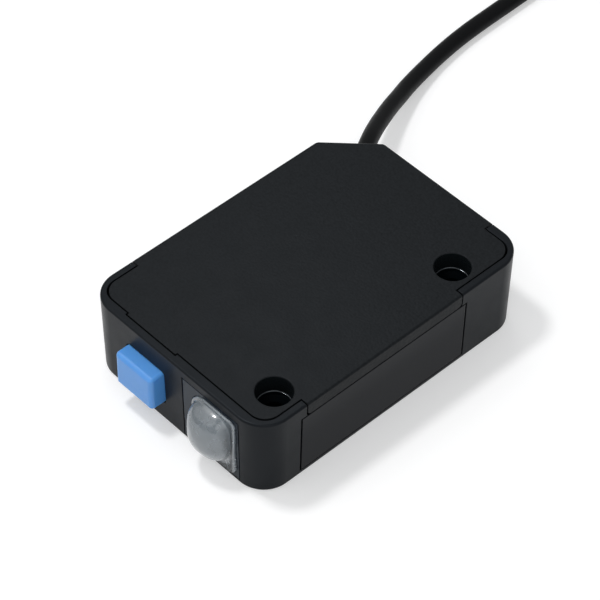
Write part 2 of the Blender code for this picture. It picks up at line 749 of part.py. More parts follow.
def make_button(plastic):
    """The push button: a rounded block with a flange behind the wall and a short stem."""
    rings = []
    for k in range(ROUND_STEPS + 1):
        a = math.pi / 2 * (1 - k / ROUND_STEPS)
        inset = BUTTON_ROUND * (1 - math.cos(a))
        rings.append((-inset, FRONT - BUTTON_REACH + BUTTON_ROUND * (1 - math.sin(a))))
    rings += [(0.0, FLANGE_Y0), (FLANGE_LAP, FLANGE_Y0), (FLANGE_LAP, FLANGE_Y0 + FLANGE_T)]
    button = solid("teach_button", loft([facing_front(button_outline(g), y) for g, y in rings]),
                   plastic)
    stem = turned([(FLANGE_T / 2, STEM_D / 2), (FLANGE_T + STEM_LENGTH, STEM_D / 2)],
                  Vector((BUTTON_X, FLANGE_Y0, BUTTON_Z)), BACKWARD, SIDEWAYS,
                  SMALL_CIRCLE_STEPS)
    combine(button, "UNION", guide("button_stem", stem))
    return button


def make_button_seal(rubber):
    """A soft ring between the wall and the button's flange."""
    y0 = INNER_FRONT + SEAT
    outer = [facing_front(button_outline(FLANGE_LAP), y) for y in (y0, y0 + SEAL_T)]
    seal = solid("button_seal", loft(outer), rubber)
    inner = [facing_front(button_outline(BUTTON_GAP), y)
             for y in (y0 - CUT_PAST, y0 + SEAL_T + CUT_PAST)]
    combine(seal, "DIFFERENCE", guide("seal_opening", loft(inner)))
    return seal


def make_switch(plastic):
    """The switch's body, which stands on the board by its foot."""
    half = SWITCH_SIZE / 2
    y1 = SWITCH_Y0 + SWITCH_DEPTH
    outline = rounded_rectangle(BUTTON_X - half, BUTTON_X + half, BUTTON_Z - half,
                                BUTTON_Z + half, SWITCH_EDGE_R, ROUND_STEPS)
    body = [facing_front(outline, y) for y in (SWITCH_Y0, y1)]
    switch = solid("switch_body", loft(body), plastic)
    foot = block(BUTTON_X - SWITCH_FOOT_W / 2, BUTTON_X + SWITCH_FOOT_W / 2,
                 SWITCH_Y0 + SWITCH_DEPTH / 4, y1 - SWITCH_DEPTH / 4, ON_BOARD, BUTTON_Z)
    well = turned([(-CUT_PAST, PLUNGER_D / 2 + SEAM),
                   (PLUNGER_IN + BUTTON_TRAVEL + SEAT, PLUNGER_D / 2 + SEAM)],
                  Vector((BUTTON_X, SWITCH_Y0, BUTTON_Z)), BACKWARD, SIDEWAYS,
                  SMALL_CIRCLE_STEPS)
    combine(switch, "UNION", guide("switch_foot", foot))
    combine(switch, "DIFFERENCE", guide("plunger_well", well))
    return switch


def make_plunger(plastic):
    """The switch's plunger, which moves with the button."""
    profile = [(0.0, PLUNGER_D / 2 - SEAM), (SEAM, PLUNGER_D / 2),
               (PLUNGER_OUT + PLUNGER_IN, PLUNGER_D / 2)]
    place = Vector((BUTTON_X, PLUNGER_Y0, BUTTON_Z))
    return solid("switch_plunger", turned(profile, place, BACKWARD, SIDEWAYS,
                                          SMALL_CIRCLE_STEPS), plastic)


# Electronics

def dome_profile(radius, direction, reach=1.0, steps=4):
    """A round dome as (distance, radius) pairs, with a small flat left at its top."""
    pairs = []
    for k in range(steps):
        a = math.pi / 2 * k / steps
        pairs.append((direction * reach * radius * math.sin(a), radius * math.cos(a)))
    return pairs


def make_board(resin):
    """The main board, with a tongue under the indicator and holes for its posts."""
    inset = WALL + BOARD_EDGE
    w = WIDTH / 2 - inset
    l = LENGTH / 2 - inset
    r = CORNER_R - WALL
    cut = CHAMFER - inset * (2 - math.sqrt(2))
    front = FRONT + LENS_T + BOARD_EDGE + SEAT
    tongue = front + TONGUE_L
    plan = rounded_outline([
        (-w, front, r), (TONGUE_X1, front, 0), (TONGUE_X1, tongue, 0), (BOARD_X1, tongue, 0),
        (BOARD_X1, l, 0), (-w + cut, l, 0), (-w, l - cut, 0)], SMALL_ARC_STEPS)
    board = solid("main_board", loft([flat(plan, BOARD_Z), flat(plan, BOARD_TOP)]), resin)
    for i, (x, y) in enumerate(board_posts()):
        hole = upright(x, y, BOARD_PEG_D + 2 * SEAM, BOARD_Z - CUT_PAST, BOARD_TOP + CUT_PAST,
                       SMALL_CIRCLE_STEPS)
        combine(board, "DIFFERENCE", guide(f"board_hole_{i}", hole))
    return board


def across_board(share):
    """The x of a place that far across the main board."""
    return BOARD_X0 + share * (BOARD_X1 - BOARD_X0)


def make_chip(name, size, share, y, mat):
    """A moulded component on the board, narrower at the top."""
    w = size[0] / 2
    l = size[1] / 2
    x = across_board(share)
    slope = size[2] / 8
    bm = loft([flat([Vector((x - w + s, y - l + s)), Vector((x + w - s, y - l + s)),
                     Vector((x + w - s, y + l - s)), Vector((x - w + s, y + l - s))], z)
               for s, z in ((slope, ON_BOARD), (0.0, ON_BOARD + size[2] / 3),
                            (0.0, ON_BOARD + size[2] / 2), (slope, ON_BOARD + size[2]))])
    return solid(name, bm, mat)


def make_capacitor(metal):
    """A can capacitor that stands on the board."""
    r = CAPACITOR_D / 2
    groove = CAPACITOR_H / 4
    profile = [(0.0, r), (groove, r), (groove + SEAM, r - SEAM), (groove + 2 * SEAM, r),
               (CAPACITOR_H - SEAM, r), (CAPACITOR_H, r - SEAM)]
    place = Vector((across_board(CAPACITOR_ACROSS), BACK - CAPACITOR_FROM_BACK, ON_BOARD))
    return solid("capacitor", turned(profile, place, UP, SIDEWAYS, SMALL_CIRCLE_STEPS), metal)


def make_led(name, x, mat):
    """A side-facing indicator lamp on the board's tongue, with a small dome."""
    w, d, h = LED_SIZE
    y0 = FRONT + LENS_T + LED_FROM_LENS
    z = ON_BOARD
    led = solid(name, block(x - w / 2, x + w / 2, y0, y0 + d, z, z + h), mat)
    dome = turned([(d / 4, LED_DOME_D / 2)] + dome_profile(LED_DOME_D / 2, -1),
                  Vector((x, y0, z + h / 2)), BACKWARD, SIDEWAYS, SMALL_CIRCLE_STEPS)
    combine(led, "UNION", guide(name + "_dome", dome))
    return led


# Optics

def along_beam(profile, y, steps=CIRCLE_STEPS):
    """A solid turned about a beam, from (x, radius) pairs."""
    return turned(profile, Vector((0.0, y, AXIS_Z)), SIDEWAYS, UP, steps)


def make_holder(plastic):
    """The black optics holder: two stepped barrels, one for each beam."""
    outline = rounded_rectangle(HOLDER_Y0, HOLDER_Y1, HOLDER_Z0, HOLDER_Z1, HOLDER_EDGE_R,
                                SMALL_ARC_STEPS)
    holder = solid("optics_holder", loft([facing_side(outline, x) for x in (HOLDER_X0, HOLDER_X1)]),
                   plastic)
    seat = OPTIC_LENS_D / 2 + SEAM
    chip = max(EMITTER_CHIP[2], RECEIVER_CHIP[2]) / 2 * math.sqrt(2) + SEAM
    chip_depth = max(EMITTER_CHIP[0], RECEIVER_CHIP[0]) + CHIP_LENS_D / 2 + SEAT
    for i, y in enumerate((EMITTER_Y, RECEIVER_Y)):
        bore = along_beam([
            (HOLDER_X0 - CUT_PAST, chip), (HOLDER_X0 + chip_depth, chip),
            (HOLDER_X0 + chip_depth, SNOUT_D / 2), (HOLDER_X0 + chip_depth + SEAT, SNOUT_D / 2),
            (OPTIC_LENS_X0 - SEAM, BARREL_D / 2), (OPTIC_LENS_X0 - SEAM, seat),
            (HOLDER_X1 + CUT_PAST, seat)], y)
        combine(holder, "DIFFERENCE", guide(f"barrel_{i}", bore))
    return holder


def make_optic_lens(name, y, mat):
    """A plano-convex lens, its flat face outwards."""
    r = OPTIC_LENS_D / 2
    bulge = OPTIC_LENS_T - OPTIC_LENS_RIM
    profile = [(OPTIC_LENS_X1, r)]
    for k in range(SMALL_ARC_STEPS):
        share = 1 - k / SMALL_ARC_STEPS
        profile.append((OPTIC_LENS_X0 + bulge * share ** 2, r * share))
    return solid(name, along_beam(profile, y), mat)


def make_filter(name, y, mat):
    """A round polarising filter in front of its lens."""
    r = OPTIC_LENS_D / 2
    return solid(name, along_beam([(FILTER_X0, r), (FILTER_X1, r)], y), mat)


def make_optics_board(resin):
    """The upright board behind the holder."""
    outline = rounded_rectangle(HOLDER_Y0, HOLDER_Y1, ON_BOARD, HOLDER_Z1, HOLDER_EDGE_R,
                                SMALL_ARC_STEPS)
    return solid("optics_board", loft([facing_side(outline, x)
                                       for x in (OPTIC_BOARD_X0, OPTIC_BOARD_X1)]), resin)


def make_optic_chip(name, size, y, mat):
    """An emitter or receiver on the upright board, with its small lens towards the window."""
    depth, w, h = size
    x0 = OPTIC_BOARD_X1 + SEAT
    chip = solid(name, block(x0, x0 + depth, y - w / 2, y + w / 2, AXIS_Z - h / 2, AXIS_Z + h / 2),
                 mat)
    r = CHIP_LENS_D / 2
    profile = [(x0 + depth / 2, r)]
    profile += [(x0 + depth + x, radius) for x, radius in dome_profile(r, 1, CHIP_LENS_REACH)]
    combine(chip, "UNION", guide(name + "_lens", along_beam(profile, y, SMALL_CIRCLE_STEPS)))
    return chip


def make_shield(metal):
    """The folded metal shield over the receiver's amplifier, open towards its board."""
    x1 = OPTIC_BOARD_X0 - SEAT
    x0 = x1 - SHIELD_D
    y0 = RECEIVER_Y - SHIELD_W / 2
    y1 = RECEIVER_Y + SHIELD_W / 2
    z0 = ON_BOARD
    z1 = ON_BOARD + SHIELD_H
    shield = solid("receiver_shield", block(x0, x1, y0, y1, z0, z1), metal)
    t = SHIELD_WALL
    hollow = block(x0 + t, x1 + CUT_PAST, y0 + t, y1 - t, z0 + t, z1 - t)
    combine(shield, "DIFFERENCE", guide("shield_hollow", hollow))
    return shield


# Cable

def make_grommet(rubber):
    """The soft seal round the cable, with a flange inside the wall."""
    inner = CABLE_D / 2 + CABLE_FIT
    r = GROMMET_D / 2
    back = -WALL - SEAT
    outer = [(back - GROMMET_FLANGE_T, GROMMET_FLANGE_R), (back, GROMMET_FLANGE_R),
             (back, r), (-SEAT, r)]
    seal = solid("cable_seal", turned(outer, CABLE_EXIT, OUTWARD, UP), rubber)
    bore = turned([(back - GROMMET_FLANGE_T - CUT_PAST, inner), (CUT_PAST, inner)], CABLE_EXIT,
                  OUTWARD, UP)
    combine(seal, "DIFFERENCE", guide("seal_bore", bore))
    return seal


def make_clamp(metal):
    """The crimped ring that holds the cable against a pull."""
    start = -WALL - SEAT - GROMMET_FLANGE_T - SEAT
    inner = CABLE_D / 2 + CABLE_FIT
    r = CLAMP_D / 2
    edge = CLAMP_L / 8
    outer = [(start - CLAMP_L, r - edge), (start - CLAMP_L + edge, r), (start - edge, r),
             (start, r - edge)]
    clamp = solid("cable_clamp", turned(outer, CABLE_EXIT, OUTWARD, UP), metal)
    bore = turned([(start - CLAMP_L - CUT_PAST, inner), (start + CUT_PAST, inner)], CABLE_EXIT,
                  OUTWARD, UP)
    combine(clamp, "DIFFERENCE", guide("clamp_bore", bore))
    return clamp


def make_jacket_end(jacket):
    """The cable's jacket inside the case, as far as it is left on."""
    profile = [(-JACKET_IN, CABLE_D / 2), (-SEAT, CABLE_D / 2)]
    return solid("cable_entry", turned(profile, CABLE_EXIT, OUTWARD, UP), jacket)


def nest(k, spread):
    """Offset of one of four cores inside the jacket, as two numbers."""
    a = math.pi / 4 + math.pi / 2 * k
    return spread * math.cos(a) * math.sqrt(2), spread * math.sin(a) * math.sqrt(2)


def make_inner_lead(k, name, mat):
    """One core from the cable to its pad on the board."""
    across, up = nest(k, INNER_LEAD_NEST)
    start = CABLE_EXIT - OUTWARD * (JACKET_IN + SEAT) + ALONG_CHAMFER * across + UP * up
    pad = Vector((PAD_X0 + PAD_PITCH * PAD_ORDER[k], PAD_Y, ON_BOARD + INNER_LEAD_D / 2))
    ahead = start - OUTWARD * INNER_LEAD_D
    near = pad + Vector((0.0, INNER_LEAD_D * 2, INNER_LEAD_D / 4))
    middle = ahead.lerp(near, 0.5) + Vector((INNER_LEAD_D, 0.0, INNER_LEAD_D))
    return tube("inner_lead_" + name, [start, ahead, middle, near, pad], INNER_LEAD_D,
                mat, INNER_LEAD_SPACING)


def make_cable(jacket):
    """The cable outside, down to where it joins the coil."""
    start = CABLE_EXIT + OUTWARD * CABLE_START
    ahead = CABLE_EXIT + OUTWARD * CABLE_D
    return tube("cable_run", [start, ahead] + RUN, CABLE_D, jacket)


def make_coil(jacket):
    """The coiled length, as one turned ring."""
    edge = COIL_ROUND * (1 - math.sqrt(0.5))
    profile = [(0.0, COIL_ROUND), (edge, edge), (COIL_ROUND, 0.0), (COIL_H - COIL_ROUND, 0.0),
               (COIL_H - edge, edge), (COIL_H, COIL_ROUND)]
    place = Vector((COIL_X, COIL_Y, 0.0))
    coil = solid("cable_coil", turned([(z, COIL_R_OUT - inset) for z, inset in profile], place,
                                      UP, SIDEWAYS, COIL_STEPS), jacket)
    hole = turned([(-CUT_PAST, COIL_R_IN), (COIL_H + CUT_PAST, COIL_R_IN)], place, UP,
                  SIDEWAYS, COIL_STEPS)
    combine(coil, "DIFFERENCE", guide("coil_hole", hole))
    return coil


def round_coil(angle, beside, height):
    """A point beside the coil, from its angle in degrees and its distance from the coil."""
    a = math.radians(angle)
    radius = COIL_R_OUT + beside
    return Vector((COIL_X + radius * math.cos(a), COIL_Y + radius * math.sin(a), height))


def make_tail(jacket):
    """The cable's last stretch, beside the coil."""
    return tube("cable_tail", [round_coil(*p) for p in TAIL_ROUTE], CABLE_D, jacket)


def make_outer_lead(k, name, mat):
    """One stripped core at the cable's far end, lying fanned out on the ground."""
    angle, beside, height = TAIL_ROUTE[-1]
    across, up = nest(k, LEAD_NEST)
    turn = math.degrees(SEAT / (COIL_R_OUT + beside))
    place = beside - LEAD_NEST + LEAD_SPREAD * LEAD_ORDER[k]
    route = [round_coil(angle - turn, beside + across, height + up),
             round_coil(angle - turn * 5, beside + across, height + up),
             round_coil(angle - LEAD_TURN / 2, place, LEAD_LOW),
             round_coil(angle - LEAD_TURN, place + LEAD_D * LEAD_ORDER[k] / 2, LEAD_LYING)]
    return tube("cable_lead_" + name, route, LEAD_D, mat)


def main():
    """Empties the scene and makes every piece."""
    for obj in list(bpy.data.objects):
        bpy.data.objects.remove(obj)
    shell = material("housing_black", (0.019, 0.021, 0.023), 0.42)
    dark = material("window_dark", (0.012, 0.012, 0.015), 0.12)
    milky = material("indicator_milky", (0.30, 0.33, 0.36), 0.25, 0.0, 0.35)
    blue = material("button_blue", (0.14, 0.34, 0.72), 0.38)
    rubber = material("rubber_black", (0.02, 0.02, 0.02), 0.7)
    inner = material("holder_black", (0.015, 0.015, 0.015), 0.6)
    resin = material("board_green", (0.02, 0.16, 0.07), 0.45)
    chip = material("chip_black", (0.02, 0.02, 0.022), 0.5)
    metal = material("plated_metal", (0.6, 0.6, 0.58), 0.3, 1.0)
    clear = material("lens_clear", (0.85, 0.87, 0.9), 0.05, 0.0, 0.9)
    tint = material("filter_grey", (0.10, 0.10, 0.11), 0.1, 0.0, 0.6)
    green = material("led_green", (0.10, 0.60, 0.20), 0.3)
    yellow = material("led_yellow", (0.80, 0.50, 0.05), 0.3)
    red = material("emitter_red", (0.60, 0.04, 0.04), 0.25)
    jacket = material("cable_grey", (0.030, 0.031, 0.034), 0.5)

    make_case(shell)
    make_cover(shell)
    make_window(dark)
    make_bezel(dark)
    make_indicator_lens(milky)
    make_button(blue)
    make_button_seal(rubber)
    make_switch(chip)
    make_plunger(metal)
    make_board(resin)
    beside_pads = PAD_Y - BEHIND_PADS
    make_chip("processor", PROCESSOR, PROCESSOR_ACROSS, PROCESSOR_ALONG * LENGTH, chip)
    make_chip("output_driver", DRIVER, DRIVER_ACROSS, beside_pads, chip)
    make_chip("voltage_regulator", REGULATOR, REGULATOR_ACROSS, beside_pads, chip)
    make_capacitor(metal)
    make_led("status_led_green", LED_GREEN_X, green)
    make_led("status_led_yellow", LED_YELLOW_X, yellow)
    make_holder(inner)
    make_optics_board(resin)
    make_shield(metal)
    make_optic_chip("emitter_led", EMITTER_CHIP, EMITTER_Y, red)
    make_optic_chip("receiver_diode", RECEIVER_CHIP, RECEIVER_Y, chip)
    for name, y in (("emitter", EMITTER_Y), ("receiver", RECEIVER_Y)):
        make_optic_lens(name + "_lens", y, clear)
        make_filter(name + "_filter", y, tint)
    make_grommet(rubber)
    make_clamp(metal)
    make_jacket_end(jacket)
    make_cable(jacket)
    make_coil(jacket)
    make_tail(jacket)
    for k, (name, colour) in enumerate(LEADS):
        core = material("lead_" + name, colour, 0.45)
        make_inner_lead(k, name, core)
        make_outer_lead(k, name, core)


main()
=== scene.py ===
import json
import math

import bmesh
import bpy
from mathutils import Matrix, Vector

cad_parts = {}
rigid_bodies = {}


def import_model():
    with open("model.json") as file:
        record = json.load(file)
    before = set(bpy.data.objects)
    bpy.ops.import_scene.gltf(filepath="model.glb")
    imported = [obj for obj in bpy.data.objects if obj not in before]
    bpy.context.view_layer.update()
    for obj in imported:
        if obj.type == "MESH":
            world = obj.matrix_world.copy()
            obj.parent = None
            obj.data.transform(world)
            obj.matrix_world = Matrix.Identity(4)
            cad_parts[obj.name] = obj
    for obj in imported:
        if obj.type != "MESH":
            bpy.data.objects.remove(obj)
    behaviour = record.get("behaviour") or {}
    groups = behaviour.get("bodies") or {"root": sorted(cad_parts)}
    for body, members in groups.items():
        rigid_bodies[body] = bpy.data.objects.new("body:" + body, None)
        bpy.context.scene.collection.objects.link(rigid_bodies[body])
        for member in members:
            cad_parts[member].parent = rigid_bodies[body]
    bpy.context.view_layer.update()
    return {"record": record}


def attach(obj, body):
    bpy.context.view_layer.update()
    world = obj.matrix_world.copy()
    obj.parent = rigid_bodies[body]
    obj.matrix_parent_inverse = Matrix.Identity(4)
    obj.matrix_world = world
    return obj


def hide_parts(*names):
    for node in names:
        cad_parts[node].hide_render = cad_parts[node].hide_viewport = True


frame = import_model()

# Sizes repeated from the part's source, in metres
LENGTH = 0.0600
WIDTH = 0.0425
HEIGHT = 0.0165
CORNER_R = 0.0056
CHAMFER = 0.0082
CHAMFER_ROUND = 0.0012
DRAFT = 0.0003
WALL = 0.0022
FLOOR = 0.0016
SEAM = 0.0002
COVER_T = 0.0016
LIP_H = 0.0026
LIP_T = 0.0012
LIP_ROUND = 0.0008
LIP_Y0 = -0.0200
LIP_Y1 = 0.0145
POST_X = 0.0130
RIM_FRONT = 0.0020
RIM_SIDE = 0.0016
RIM_R = 0.0030
TAB_X0 = -0.012623
TAB_X1 = -0.000873
TAB_REACH = 0.00045
HOLES = [(0.0156, -0.0221), (0.0156, 0.0179)]
HOLE_D = 0.0034
HOLE_LEAD_D = 0.0050
CBORE_D = 0.0063
CBORE_DEPTH = 0.0037
COLLAR_D = 0.0073
WINDOW_Y0 = -0.0211
WINDOW_Y1 = 0.0155
WINDOW_Z0 = 0.0011
WINDOW_Z1 = 0.0137
WINDOW_T = 0.0014
LIGHT_Y0 = -0.0172
LIGHT_Y1 = 0.0130
LIGHT_Z0 = 0.0033
LIGHT_Z1 = 0.0126
BEZEL_X0 = 0.002507
BEZEL_X1 = 0.015598
BEZEL_Z0 = 0.0008
BEZEL_Z1 = 0.0146
BEZEL_T = 0.0012
LENS_X0 = 0.004707
LENS_X1 = 0.014898
LENS_Z0 = 0.0015
LENS_Z1 = 0.0139
LENS_R = 0.0012
LENS_DOME_R = 0.0032
LENS_PROUD = 0.00025
LENS_T = 0.0020
DOME_X = 0.0093
DOME_Z = 0.0080
DOME_A = 0.00424
DOME_A_RIGHT = 0.00479
DOME_C = 0.00533
DOME_REACH = 0.0037
DOME_SQUARE = 2.5
BUTTON_X = -0.00625
BUTTON_Z = 0.0086
BUTTON_W = 0.0087
BUTTON_H = 0.0069
BUTTON_REACH = 0.0027
BUTTON_R = 0.0010
BUTTON_GAP = 0.00025
FLANGE = 0.0009
FLANGE_Y0 = -0.0265
FLANGE_Y1 = -0.0256
STEM_R = 0.0013
STEM_Y1 = -0.0249
CABLE_D = 0.0032
CABLE_EXIT = (-0.015736, 0.027314, 0.0080)
CABLE_HOLE_R = 0.0026
FRONT = -LENGTH / 2

# Sizes of the visible form that were fitted to the photograph
EDGE_ROUND = 0.0004
SEAM_SEEN = 0.00028
WINDOW_SEAM = 0.00036
WINDOW_DROP = 0.00008
CBORE_EDGE = 0.00012
STEP_R = 0.00022
DOME_SQUARE_ABOVE = 3.4
CAP_X = -0.00678
CAP_W = 0.0089
CAP_Z = 0.00805
CAP_H = 0.0073
CAP_R = 0.0006
CAP_ROUND = 0.00085

# The foot of the dome: shares of its width, and heights in shares of LENS_PROUD
DOME_FOOT = [(1.03, 0.95), (1.012, 1.15), (1.002, 1.45)]

# The milky window's painted light from below fades out between these heights; its right rim, kept pale
# as a painted highlight, is this wide
LIT_FROM_BELOW_HEIGHTS = (0.0052, 0.0078)
LENS_RIM_GLOW = 0.0006

# How finely the round forms are divided
EDGE_STEPS = 6
STEP_COUNT = 6
LENS_EDGE_STEPS = 4
DOME_COUNT = 24
CAP_COUNT = 8

# Edges that turn by more degrees than this are shaded sharp
SHARP_ANGLE = 30.0

# How far a cutting solid reaches past what it cuts
PAST = 0.0010

# The cable: its free run, its coil, its stripped cores and the ties
CABLE_SUNK = 0.00015
CABLE_SEEN = [
    (-0.0180, 0.02958, 0.0080), (-0.0199, 0.0321, 0.00785), (-0.0219, 0.0353, 0.0074),
    (-0.0240, 0.0389, 0.0065), (-0.0259, 0.0426, 0.0055), (-0.0277, 0.0464, 0.0045),
    (-0.0293, 0.0502, 0.0035), (-0.0307, 0.0538, 0.0028), (-0.0326, 0.0604, 0.0020),
    (-0.0339, 0.0669, 0.0017), (-0.0346, 0.0731, 0.00165), (-0.0349, 0.0792, 0.00165),
    (-0.0351, 0.0854, 0.00165), (-0.0353, 0.0920, 0.00165), (-0.0356, 0.1000, 0.00165),
    (-0.0358, 0.1085, 0.00165), (-0.0359, 0.1170, 0.00165)]
COIL_X = -0.007836
COIL_Y = 0.130114
COIL_IN = 0.0142
COIL_PITCH = 0.0033
COIL_LOW = 0.0022
COIL_COLUMNS = 4
COIL_LAYERS = 4
COIL_MOVE = 90
COIL_START = (180.0, 0.0281)
COIL_STEP = 22.5
COIL_CLEAR = 0.00005
TAIL = [(28.0, 0.0281, 0.0119), (12.0, 0.0282, 0.0100), (-5.0, 0.0283, 0.0067),
        (-21.0, 0.0284, 0.0038), (-36.0, 0.0285, 0.0021), (-50.0, 0.0286, 0.00165),
        (-66.0, 0.0287, 0.00165)]
LEAD_D = 0.0010
LEAD_TURN = 32.0
LEAD_STEP = 0.0003
LEAD_NEST = 0.00075
LEAD_SPREAD = 0.0016
LEADS = [("brown", 2, (1, 1)), ("white", 1, (-1, 1)), ("blue", 0, (-1, -1)), ("black", 3, (1, -1))]
TIES = [("tie_far", 120.0), ("tie_near", 240.0)]
TIE_T = 0.00045
TIE_HALF = 0.0018
TIE_R = 0.0010

# The fitted camera: azimuth, elevation and roll in degrees, place in metres, lens in millimetres
VIEW_ANGLES = (46.484, 47.284, 0.640)
VIEW_PLACE = (0.22705, -0.21745, 0.34959)
VIEW_SENSOR = 36.0
VIEW_LENS = 166.87
VIEW_SHIFT = (-0.0002, 0.00015)

# The floor and the room
FLOOR_SIZE = 6.0
FLOOR_CELLS = 12
FLOOR_Z = -0.00002
FLOOR_GLOW = 0.32
ROOM_STRENGTH = 0.45


# Camera

def make_camera():
    """The fitted viewpoint: direction, distance and angle of view."""
    azimuth, elevation, roll = (math.radians(a) for a in VIEW_ANGLES)
    back = Vector((math.sin(azimuth) * math.cos(elevation),
                   -math.cos(azimuth) * math.cos(elevation), math.sin(elevation)))
    right = Vector((math.cos(azimuth), math.sin(azimuth), 0.0))
    up = back.cross(right)
    across = right * math.cos(roll) + up * math.sin(roll)
    over = up * math.cos(roll) - right * math.sin(roll)
    data = bpy.data.cameras.new("camera")
    data.sensor_width = VIEW_SENSOR
    data.lens = VIEW_LENS
    data.shift_x, data.shift_y = VIEW_SHIFT
    camera = bpy.data.objects.new("camera", data)
    bpy.context.collection.objects.link(camera)
    turn = Matrix((across, over, back)).transposed().to_4x4()
    camera.matrix_world = Matrix.Translation(VIEW_PLACE) @ turn
    bpy.context.scene.camera = camera


# Node materials

class Nodes:
    """A material's node tree, with short calls that add nodes and links."""

    def __init__(self, name):
        self.mat = bpy.data.materials.new(name)
        self.mat.use_nodes = True
        self.tree = self.mat.node_tree
        self.shader = self.tree.nodes["Principled BSDF"]
        self.place = self.add("ShaderNodeTexCoord").outputs["Object"]

    def add(self, kind, **values):
        """A new node with the given settings."""
        node = self.tree.nodes.new(kind)
        for key, value in values.items():
            setattr(node, key, value)
        return node

    def link(self, a, b):
        """Joins an output to an input."""
        self.tree.links.new(a, b)

    def noise(self, size, detail=2.0, stretch=None):
        """Noise with cells of the given size in metres."""
        node = self.add("ShaderNodeTexNoise")
        node.inputs["Scale"].default_value = 1.0 / size
        node.inputs["Detail"].default_value = detail
        place = self.place
        if stretch:
            mapping = self.add("ShaderNodeMapping")
            mapping.inputs["Scale"].default_value = stretch
            self.link(place, mapping.inputs["Vector"])
            place = mapping.outputs["Vector"]
        self.link(place, node.inputs["Vector"])
        return node.outputs["Fac"]

    def ranged(self, value, low, high, start=0.3, end=0.7):
        """Maps a value from start..end to low..high."""
        node = self.add("ShaderNodeMapRange")
        for key, number in (("From Min", start), ("From Max", end), ("To Min", low), ("To Max", high)):
            node.inputs[key].default_value = number
        self.link(value, node.inputs["Value"])
        return node.outputs["Result"]

    def math(self, operation, first, second):
        """A sum, product or other result of two values or numbers."""
        node = self.add("ShaderNodeMath", operation=operation)
        for place, value in zip(node.inputs, (first, second)):
            if isinstance(value, (int, float)):
                place.default_value = value
            else:
                self.link(value, place)
        return node.outputs["Value"]

    def mixed(self, value, first, second):
        """A colour between two colours or outputs, by a value."""
        node = self.add("ShaderNodeMix", data_type="RGBA")
        for place, colour in (("A", first), ("B", second)):
            if isinstance(colour, tuple):
                node.inputs[place].default_value = (*colour, 1.0)
            else:
                self.link(colour, node.inputs[place])
        self.link(value, node.inputs["Factor"])
        return node.outputs["Result"]

    def axes(self, vector):
        """The X, Y and Z of a vector output."""
        node = self.add("ShaderNodeSeparateXYZ")
        self.link(vector, node.inputs[0])
        return node.outputs["X"], node.outputs["Y"], node.outputs["Z"]

    def relief(self, height, depth, under=None):
        """A bump of the given depth in metres."""
        node = self.add("ShaderNodeBump")
        node.inputs["Distance"].default_value = depth
        self.link(height, node.inputs["Height"])
        if under:
            self.link(under, node.inputs["Normal"])
        return node.outputs["Normal"]

    def soft_edge(self, radius):
        """Rounds off the shading of sharp edges."""
        node = self.add("ShaderNodeBevel", samples=6)
        node.inputs["Radius"].default_value = radius
        return node.outputs["Normal"]

    def set(self, **values):
        """Sets values of the shader, by their names with underscores."""
        for key, value in values.items():
            self.shader.inputs[key.replace("_", " ")].default_value = value


def tint(colour, factor):
    """A colour made darker or lighter."""
    return tuple(min(1.0, c * factor) for c in colour)


def moulded(name, colour, roughness, grain=0.00016, depth=0.000012, spread=0.25, edge=0.00012,
            specular=0.5, above=None, detail=2.0, sheen=(0.86, 0.93, 1.0)):
    """Moulded plastic with a fine spark-eroded grain; faces that look up may get a painted sheen, a
    higher specular level.
    """
    n = Nodes(name)
    fine = n.noise(grain, detail)
    broad = n.noise(0.004, 2.0)
    n.link(n.mixed(fine, tint(colour, 1 - spread), tint(colour, 1 + spread)),
           n.shader.inputs["Base Color"])
    n.link(n.math("ADD", n.ranged(broad, roughness - 0.04, roughness + 0.04),
                  n.ranged(fine, -0.05, 0.05)), n.shader.inputs["Roughness"])
    n.link(n.relief(fine, depth, n.soft_edge(edge) if edge else None), n.shader.inputs["Normal"])
    n.set(Specular_IOR_Level=specular, Specular_Tint=(*sheen, 1.0))
    # Painted sheen: the specular level rises on faces that look up.
    if above:
        up = n.axes(n.add("ShaderNodeNewGeometry").outputs["True Normal"])[2]
        n.link(n.ranged(up, specular, above, 0.2, 0.9), n.shader.inputs["Specular IOR Level"])
    return n.mat


def glassy(name, colour, roughness, transmission):
    """Clear or tinted moulded plastic."""
    n = Nodes(name)
    cloud = n.noise(0.0012, 3.0)
    n.link(n.mixed(cloud, tint(colour, 0.92), tint(colour, 1.06)), n.shader.inputs["Base Color"])
    n.link(n.ranged(cloud, roughness * 0.8, roughness * 1.2), n.shader.inputs["Roughness"])
    n.link(n.relief(cloud, 0.00001, n.soft_edge(0.0001)), n.shader.inputs["Normal"])
    n.set(Transmission_Weight=transmission, IOR=1.49)
    return n.mat


